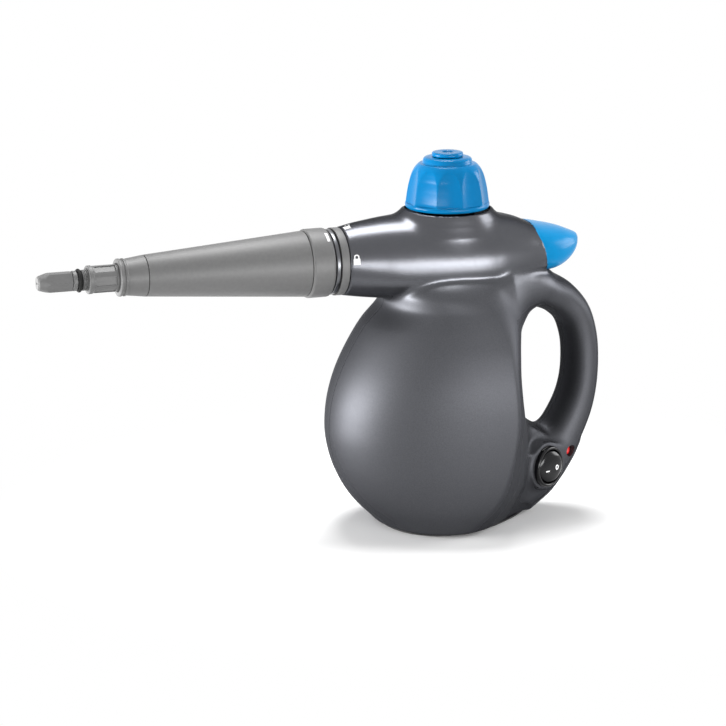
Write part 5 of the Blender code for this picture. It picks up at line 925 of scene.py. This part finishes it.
# place along X, top above the axis, bottom below it, half width
trigger_shares = (
    (0.000, 1.020, -0.900, 1.000),
    (0.160, 0.970, -0.960, 0.985),
    (0.350, 0.890, -1.010, 0.925),
    (0.540, 0.800, -0.930, 0.815),
    (0.700, 0.700, -0.740, 0.680),
    (0.830, 0.590, -0.470, 0.530),
    (0.920, 0.510, -0.190, 0.380),
    (0.975, 0.450, 0.060, 0.225),
    (1.000, 0.350, 0.180, 0.090),
)
# low and high corner of the blocks under the paddle
trigger_blocks = {
    "yoke": ((35.5, -14.5, 150.0), (50.0, 14.5, 157.0)),
    "web": ((37.0, -5.0, 146.0), (44.0, 4.7, 150.3)),
    "arm": ((36.8, -3.0, 126.5), (40.4, 3.0, 147.0)),
}


def trigger_rings(count=48, sides=120):
    """The paddle's rings, from under the barrel's rim to its rear end."""
    rings = []
    for place, top, bottom, width in through(trigger_shares, count):
        high, low = AXIS_HEIGHT + top * TRIGGER_UP, AXIS_HEIGHT + bottom * TRIGGER_DOWN
        half = (high - low) / 2
        z, y = superellipse(turns(sides), half, half, width * TRIGGER_HALF_WIDTH, TRIGGER_POWER)
        x = TRIGGER_ROOT + place * (TRIGGER_REACH - TRIGGER_ROOT)
        rings.append(np.stack([np.full(sides, x), -y, low + half + z], 1))
    return rings


def trigger():
    """Thumb trigger with its yoke, hub and arm, cut in front along the barrel's rim."""
    paddle = lofted("thumb_trigger", trigger_rings())
    front = box("paddle_front", (-60, -60, -80), (0, 60, 80))
    at = Vector((RIM_TOP_X + TRIGGER_GAP, 0, RIM_TOP)) * MM
    front.data.transform(Matrix.Translation(at) @ Matrix.Rotation(TRIGGER_TILT, 4, "Y"))
    carved(paddle, [front])
    yoke, web, arm = (box(name, low, high) for name, (low, high) in trigger_blocks.items())
    hub = rod("hub", HUB_RADIUS, (PIVOT_X, -15.2, PIVOT_HEIGHT), (PIVOT_X, 5.0, PIVOT_HEIGHT))
    carved(paddle, [yoke, web, hub, arm], "UNION")
    bore = rod("pivot_bore", PIVOT_BORE, (PIVOT_X, -24, PIVOT_HEIGHT), (PIVOT_X, 24, PIVOT_HEIGHT), 32)
    carved(paddle, [bore])
    # the trigger's lighter blue is painted light
    wear(sharp_over(paddle, 32), "blue_plastic", "trigger_lever", "trigger", material=painted_light_blue_abs)


# ---- switch, light, gland and foot

BEZEL_PROUD = 0.3
ROCKER_CENTRE = Vector((48.172, -22.561, 29.8))
ROCKER_TILT = math.radians(-8)
LENS_PROUD = 0.5
# x, distance from the middle plane
base_screw_places = ((-28.0, 26.5), (20.0, 18.0))


def switch():
    """The round switch: bezel, rocking button and the button's two marks."""
    face = on_flank(SWITCH_SET_BACK, SWITCH_HEIGHT, SWITCH_BOSS_PROUD + BEZEL_PROUD)
    shell = [(0, -3.8), (9.5, -3.8), (9.5, 2.2), (9.9, 2.7), (10.6, 2.75), (11.1, 2.3), (11.4, 1.4),
             (11.5, 0.4), (11.4, 0.0), (9.9, 0.0), (9.9, -15.0), (0, -15.0)]
    item = turned("switch_bezel", rounded(shell, 0.3), face, FLANK, 128, crisp=35)
    wear(item, "black_plastic", "housing", "switch_body", material=gloss_black)
    out = Matrix.Rotation(ROCKER_TILT, 3, "Z") @ FLANK
    button = [(0, 2.6), (2.5, 2.56), (4.8, 2.4), (6.6, 2.12), (7.8, 1.75), (8.5, 1.3), (8.85, 0.7),
              (8.95, 0.0), (8.3, -3.4), (0, -3.4)]
    item = turned("rocker_button", button, ROCKER_CENTRE, out, 128, crisp=45)
    wear(item, "black_plastic", "rocker", "switch_rocker", material=gloss_black)
    across = UP.cross(out).normalized()
    bar = [[(-1.3, y), (1.3, y)] for y in (-0.32, 0.32)]
    ring = [[(r * math.cos(a), 1.25 * r * math.sin(a)) for a in np.linspace(0, math.tau, 25)]
            for r in (0.62, 1.15)]
    for name, patch, aside, below in (("off_mark", bar, -3.3, 1.9), ("on_mark", ring, 3.6, 0.7)):
        place = ROCKER_CENTRE + across * aside - UP * below
        inked(name, [patch], item, place, across, UP, "black_plastic", "rocker")


def pilot_light():
    face = on_flank(LIGHT_SET_BACK, LIGHT_HEIGHT, LENS_PROUD)
    lens = [(0, 1.4), (0.9, 1.33), (1.8, 1.1), (2.5, 0.75), (3.0, 0.25), (3.2, -0.4), (3.2, -2.6),
            (2.4, -2.8), (2.4, -7.0), (0, -7.0)]
    wear(turned("pilot_lens", lens, face, FLANK, 64, crisp=50), "red_lens", "housing", "indicator_light")


def gland():
    profile = [(4.2, 25.3), (7.0, 25.3), (7.5, 24.8), (7.5, 23.8), (5.9, 23.8), (5.9, 17.8), (4.2, 17.8)]
    item = turned("cord_bush", rounded(profile, 0.35), (GLAND_X, 0, GLAND_HEIGHT), RIGHT_HAND, 96)
    wear(item, "rubber", "housing", "cord_gland")


def foot():
    """Cover with its screw recesses, and the sole."""
    steps = ((11.7, 1.8), (11.7, 0.8), (1.4, 0.8), (1.05, 1.0), (1.0, 1.7), (3.5, 1.7), (3.5, 4.4))
    cover = lofted("foot_cover", foot_rings(steps))
    bore = [(0, 15), (1.7, 15), (1.7, 3.0), (3.1, 3.0), (3.1, -6), (0, -6)]
    carved(cover, [turned("cover_bore", bore, (x, side * y, 0), UP, 40)
                   for side in (-1, 1) for x, y in base_screw_places])
    wear(sharp_over(cover, 35), "black_plastic", "housing", "base_cover")
    sole = lofted("foot_sole", foot_rings(((12.4, 0.0), (12.0, 0.35), (12.0, 1.5))))
    wear(sharp_over(sole, 50), "rubber", "housing", "rubber_sole")


# ---- printed marks

# a print's height and depth, and how far out it is cast from
INK_RISE = 0.09
INK_SINK = 0.12
INK_REACH = 15


def inked(name, patches, target, place, across, upward, slot, body):
    """A thin print that follows the target's surface. Each patch is rows of points across and upward."""
    out = across.cross(upward).normalized()
    points, faces = [], []
    for patch in patches:
        rows, columns = len(patch), len(patch[0])
        face, back = len(points) + np.arange(2 * rows * columns).reshape(2, rows, columns)
        for lift in (INK_RISE, -INK_SINK):
            for row in patch:
                for a, b in row:
                    origin = (Vector(place) + across * a + upward * b + out * INK_REACH) * MM
                    hit, where, normal, _ = target.ray_cast(origin, -out)
                    points.append(where / MM + normal * lift if hit else Vector(place))
        for r in range(rows - 1):
            for c in range(columns - 1):
                faces.append((face[r, c], face[r, c + 1], face[r + 1, c + 1], face[r + 1, c]))
                faces.append((back[r, c], back[r + 1, c], back[r + 1, c + 1], back[r, c + 1]))
        rim = [(0, c) for c in range(columns)] + [(r, columns - 1) for r in range(1, rows)]
        rim += [(rows - 1, c) for c in range(columns - 2, -1, -1)] + [(r, 0) for r in range(rows - 2, 0, -1)]
        for here, there in zip(rim, rim[1:] + rim[:1]):
            faces.append((face[here], back[here], back[there], face[there]))
    wear(outward(made(name, points, faces, False)), slot, body, material=white_ink)


def padlock(opened):
    """Patches of a padlock 3.5 mm wide. An open one has its shackle lifted and turned aside."""
    body = [[(x, y) for x in np.linspace(-1.75, 1.75, 8)] for y in np.linspace(-2.9, 0.3, 6)]
    radius, middle = 1.05, Vector((0, 1.2))
    arc = [(radius, -0.2)]
    arc += [(radius * math.cos(a), middle.y + radius * math.sin(a)) for a in np.linspace(0, math.pi, 13)]
    arc.append((-radius, 0.75 if opened else -0.2))
    aside, lifted = (0.9, 0.5) if opened else (0, 0)
    inner, outer = [], []
    for x, y in arc:
        way = Vector((x, y)) - middle if y >= middle.y else Vector((x, 0))
        way = way.normalized() * 0.33
        inner.append((x - way.x + aside, y - way.y + lifted))
        outer.append((x + way.x + aside, y + way.y + lifted))
    return [body, [inner, outer]]


def round_nozzle(x, degrees, radius):
    """A point so far from the nozzle's axis and degrees up on the switch's side, and the way up there."""
    turn = math.radians(degrees)
    out = Vector((0, -math.cos(turn), math.sin(turn)))
    return Vector((x, 0, AXIS_HEIGHT)) + out * radius, out.cross(REARWARD)


def marks():
    """Lock marks on the barrel and the tick on the turning collar."""
    shell, collar = bpy.data.objects["housing_left"], bpy.data.objects["turning_collar"]
    for name, x, degrees, opened in (("locked_mark", -62.4, 13.0, False), ("open_mark", -62.6, 84.0, True)):
        place, upward = round_nozzle(x, degrees, 20)
        inked(name, padlock(opened), shell, place, REARWARD, upward, "shell_paint", "housing")
    place, upward = round_nozzle(-75.9, 58, 18.5)
    tick = [[(x, y) for x in np.linspace(-0.75, 0.75, 3)] for y in np.linspace(-3.2, 3.2, 15)]
    inked("collar_tick", [tick], collar, place, REARWARD, upward, "nozzle_grey", "nozzle")


# ---- camera, stage and light

# the surround's share of light, half the floor's side, and the metres over which its paper fades out
SURROUND_LEVEL = 0.30
FLOOR_HALF = 4000
FADE_FROM, FADE_TO = 0.10, 0.26
# name, place and aim in metres, width and height, power in watts
lamps = (
    ("left_panel", (-0.75, 0.10, 0.09), (0, 0, 0.08), (0.50, 0.17), 14),
    ("front_panel", (0.155, -0.80, 0.11), (0.03, 0, 0.12), (0.71, 0.21), 7),
    ("top_panel", (0.06, 0.30, 1.15), (0, 0, 0.12), (0.50, 0.60), 15),
    ("right_panel", (0.90, -0.05, 0.32), (0, 0, 0.12), (0.50, 0.50), 6),
)


def camera():
    data = bpy.data.cameras.new("camera")
    data.lens = FOCAL_PIXELS / PHOTO_SIDE * SENSOR_WIDTH
    data.sensor_width = SENSOR_WIDTH
    data.clip_start = 0.1
    data.clip_end = 50
    item = placed("camera", data)
    level = math.cos(CAMERA_ELEVATION)
    back = Vector((math.sin(CAMERA_AZIMUTH) * level, -math.cos(CAMERA_AZIMUTH) * level,
                   math.sin(CAMERA_ELEVATION)))
    right = UP.cross(back).normalized()
    up = back.cross(right)
    turn = Matrix((right, up, back)).transposed().to_4x4()
    item.matrix_world = Matrix.Translation((Vector(AIM) + back * CAMERA_DISTANCE) * MM) @ turn
    bpy.context.scene.camera = item


def lamp(name, place, aim, size, power):
    """A rectangular white lamp."""
    data = bpy.data.lights.new(name, "AREA")
    data.shape = "RECTANGLE"
    data.size, data.size_y = size
    data.energy = power
    item = placed(name, data)
    way = Vector(aim) - Vector(place)
    item.matrix_world = Matrix.Translation(Vector(place)) @ way.to_track_quat("-Z", "Y").to_matrix().to_4x4()


def white_where_seen(tree):
    """A strength that is white to the camera and in reflections, and lower for the light it gives."""
    path = node(tree, "ShaderNodeLightPath")
    seen = path.outputs["Is Camera Ray"]
    for kind in ("Is Glossy Ray", "Is Transmission Ray"):
        either = node(tree, "ShaderNodeMath", {"operation": "MAXIMUM"})
        tree.links.new(seen, either.inputs[0])
        tree.links.new(path.outputs[kind], either.inputs[1])
        seen = either.outputs[0]
    level = {"To Min": SURROUND_LEVEL, "To Max": 1.0}
    return node(tree, "ShaderNodeMapRange", level, Value=seen).outputs["Result"]


def stage():
    """White floor that fades into a white surround."""
    corners = [(x * FLOOR_HALF, y * FLOOR_HALF, 0) for x, y in ((-1, -1), (1, -1), (1, 1), (-1, 1))]
    floor = made("floor", corners, [(0, 1, 2, 3)], False)
    material = bpy.data.materials.new("white_paper_floor")
    material.use_nodes = True
    tree = material.node_tree
    tree.nodes.clear()
    place = node(tree, "ShaderNodeNewGeometry").outputs["Position"]
    reach = node(tree, "ShaderNodeVectorMath", {"operation": "LENGTH"})
    tree.links.new(place, reach.inputs[0])
    run = {"interpolation_type": "SMOOTHSTEP", "From Min": FADE_FROM, "From Max": FADE_TO}
    fade = node(tree, "ShaderNodeMapRange", run, Value=reach.outputs["Value"])
    paper = node(tree, "ShaderNodeBsdfDiffuse", {"Color": linear("#f6f6f6")})
    glow = node(tree, "ShaderNodeEmission", Strength=white_where_seen(tree))
    mix = node(tree, "ShaderNodeMixShader", Fac=fade.outputs["Result"])
    tree.links.new(paper.outputs[0], mix.inputs[1])
    tree.links.new(glow.outputs[0], mix.inputs[2])
    node(tree, "ShaderNodeOutputMaterial", Surface=mix.outputs[0])
    floor.data.materials.append(material)


def surround():
    """World: white to the camera and in reflections, plain level for the rest."""
    world = bpy.data.worlds.new("white_surround")
    bpy.context.scene.world = world
    world.use_nodes = True
    tree = world.node_tree
    tree.nodes.clear()
    ground = node(tree, "ShaderNodeBackground", {"Color": (1, 1, 1, 1)}, Strength=white_where_seen(tree))
    node(tree, "ShaderNodeOutputWorld", Surface=ground.outputs[0])


# ---- making

camera()
stage()
surround()
for row in lamps:
    lamp(*row)
bpy.context.scene.view_settings.view_transform = "Standard"

dress_solids()
housing()
nozzle()
cap()
trigger()
switch()
pilot_light()
gland()
foot()
marks()
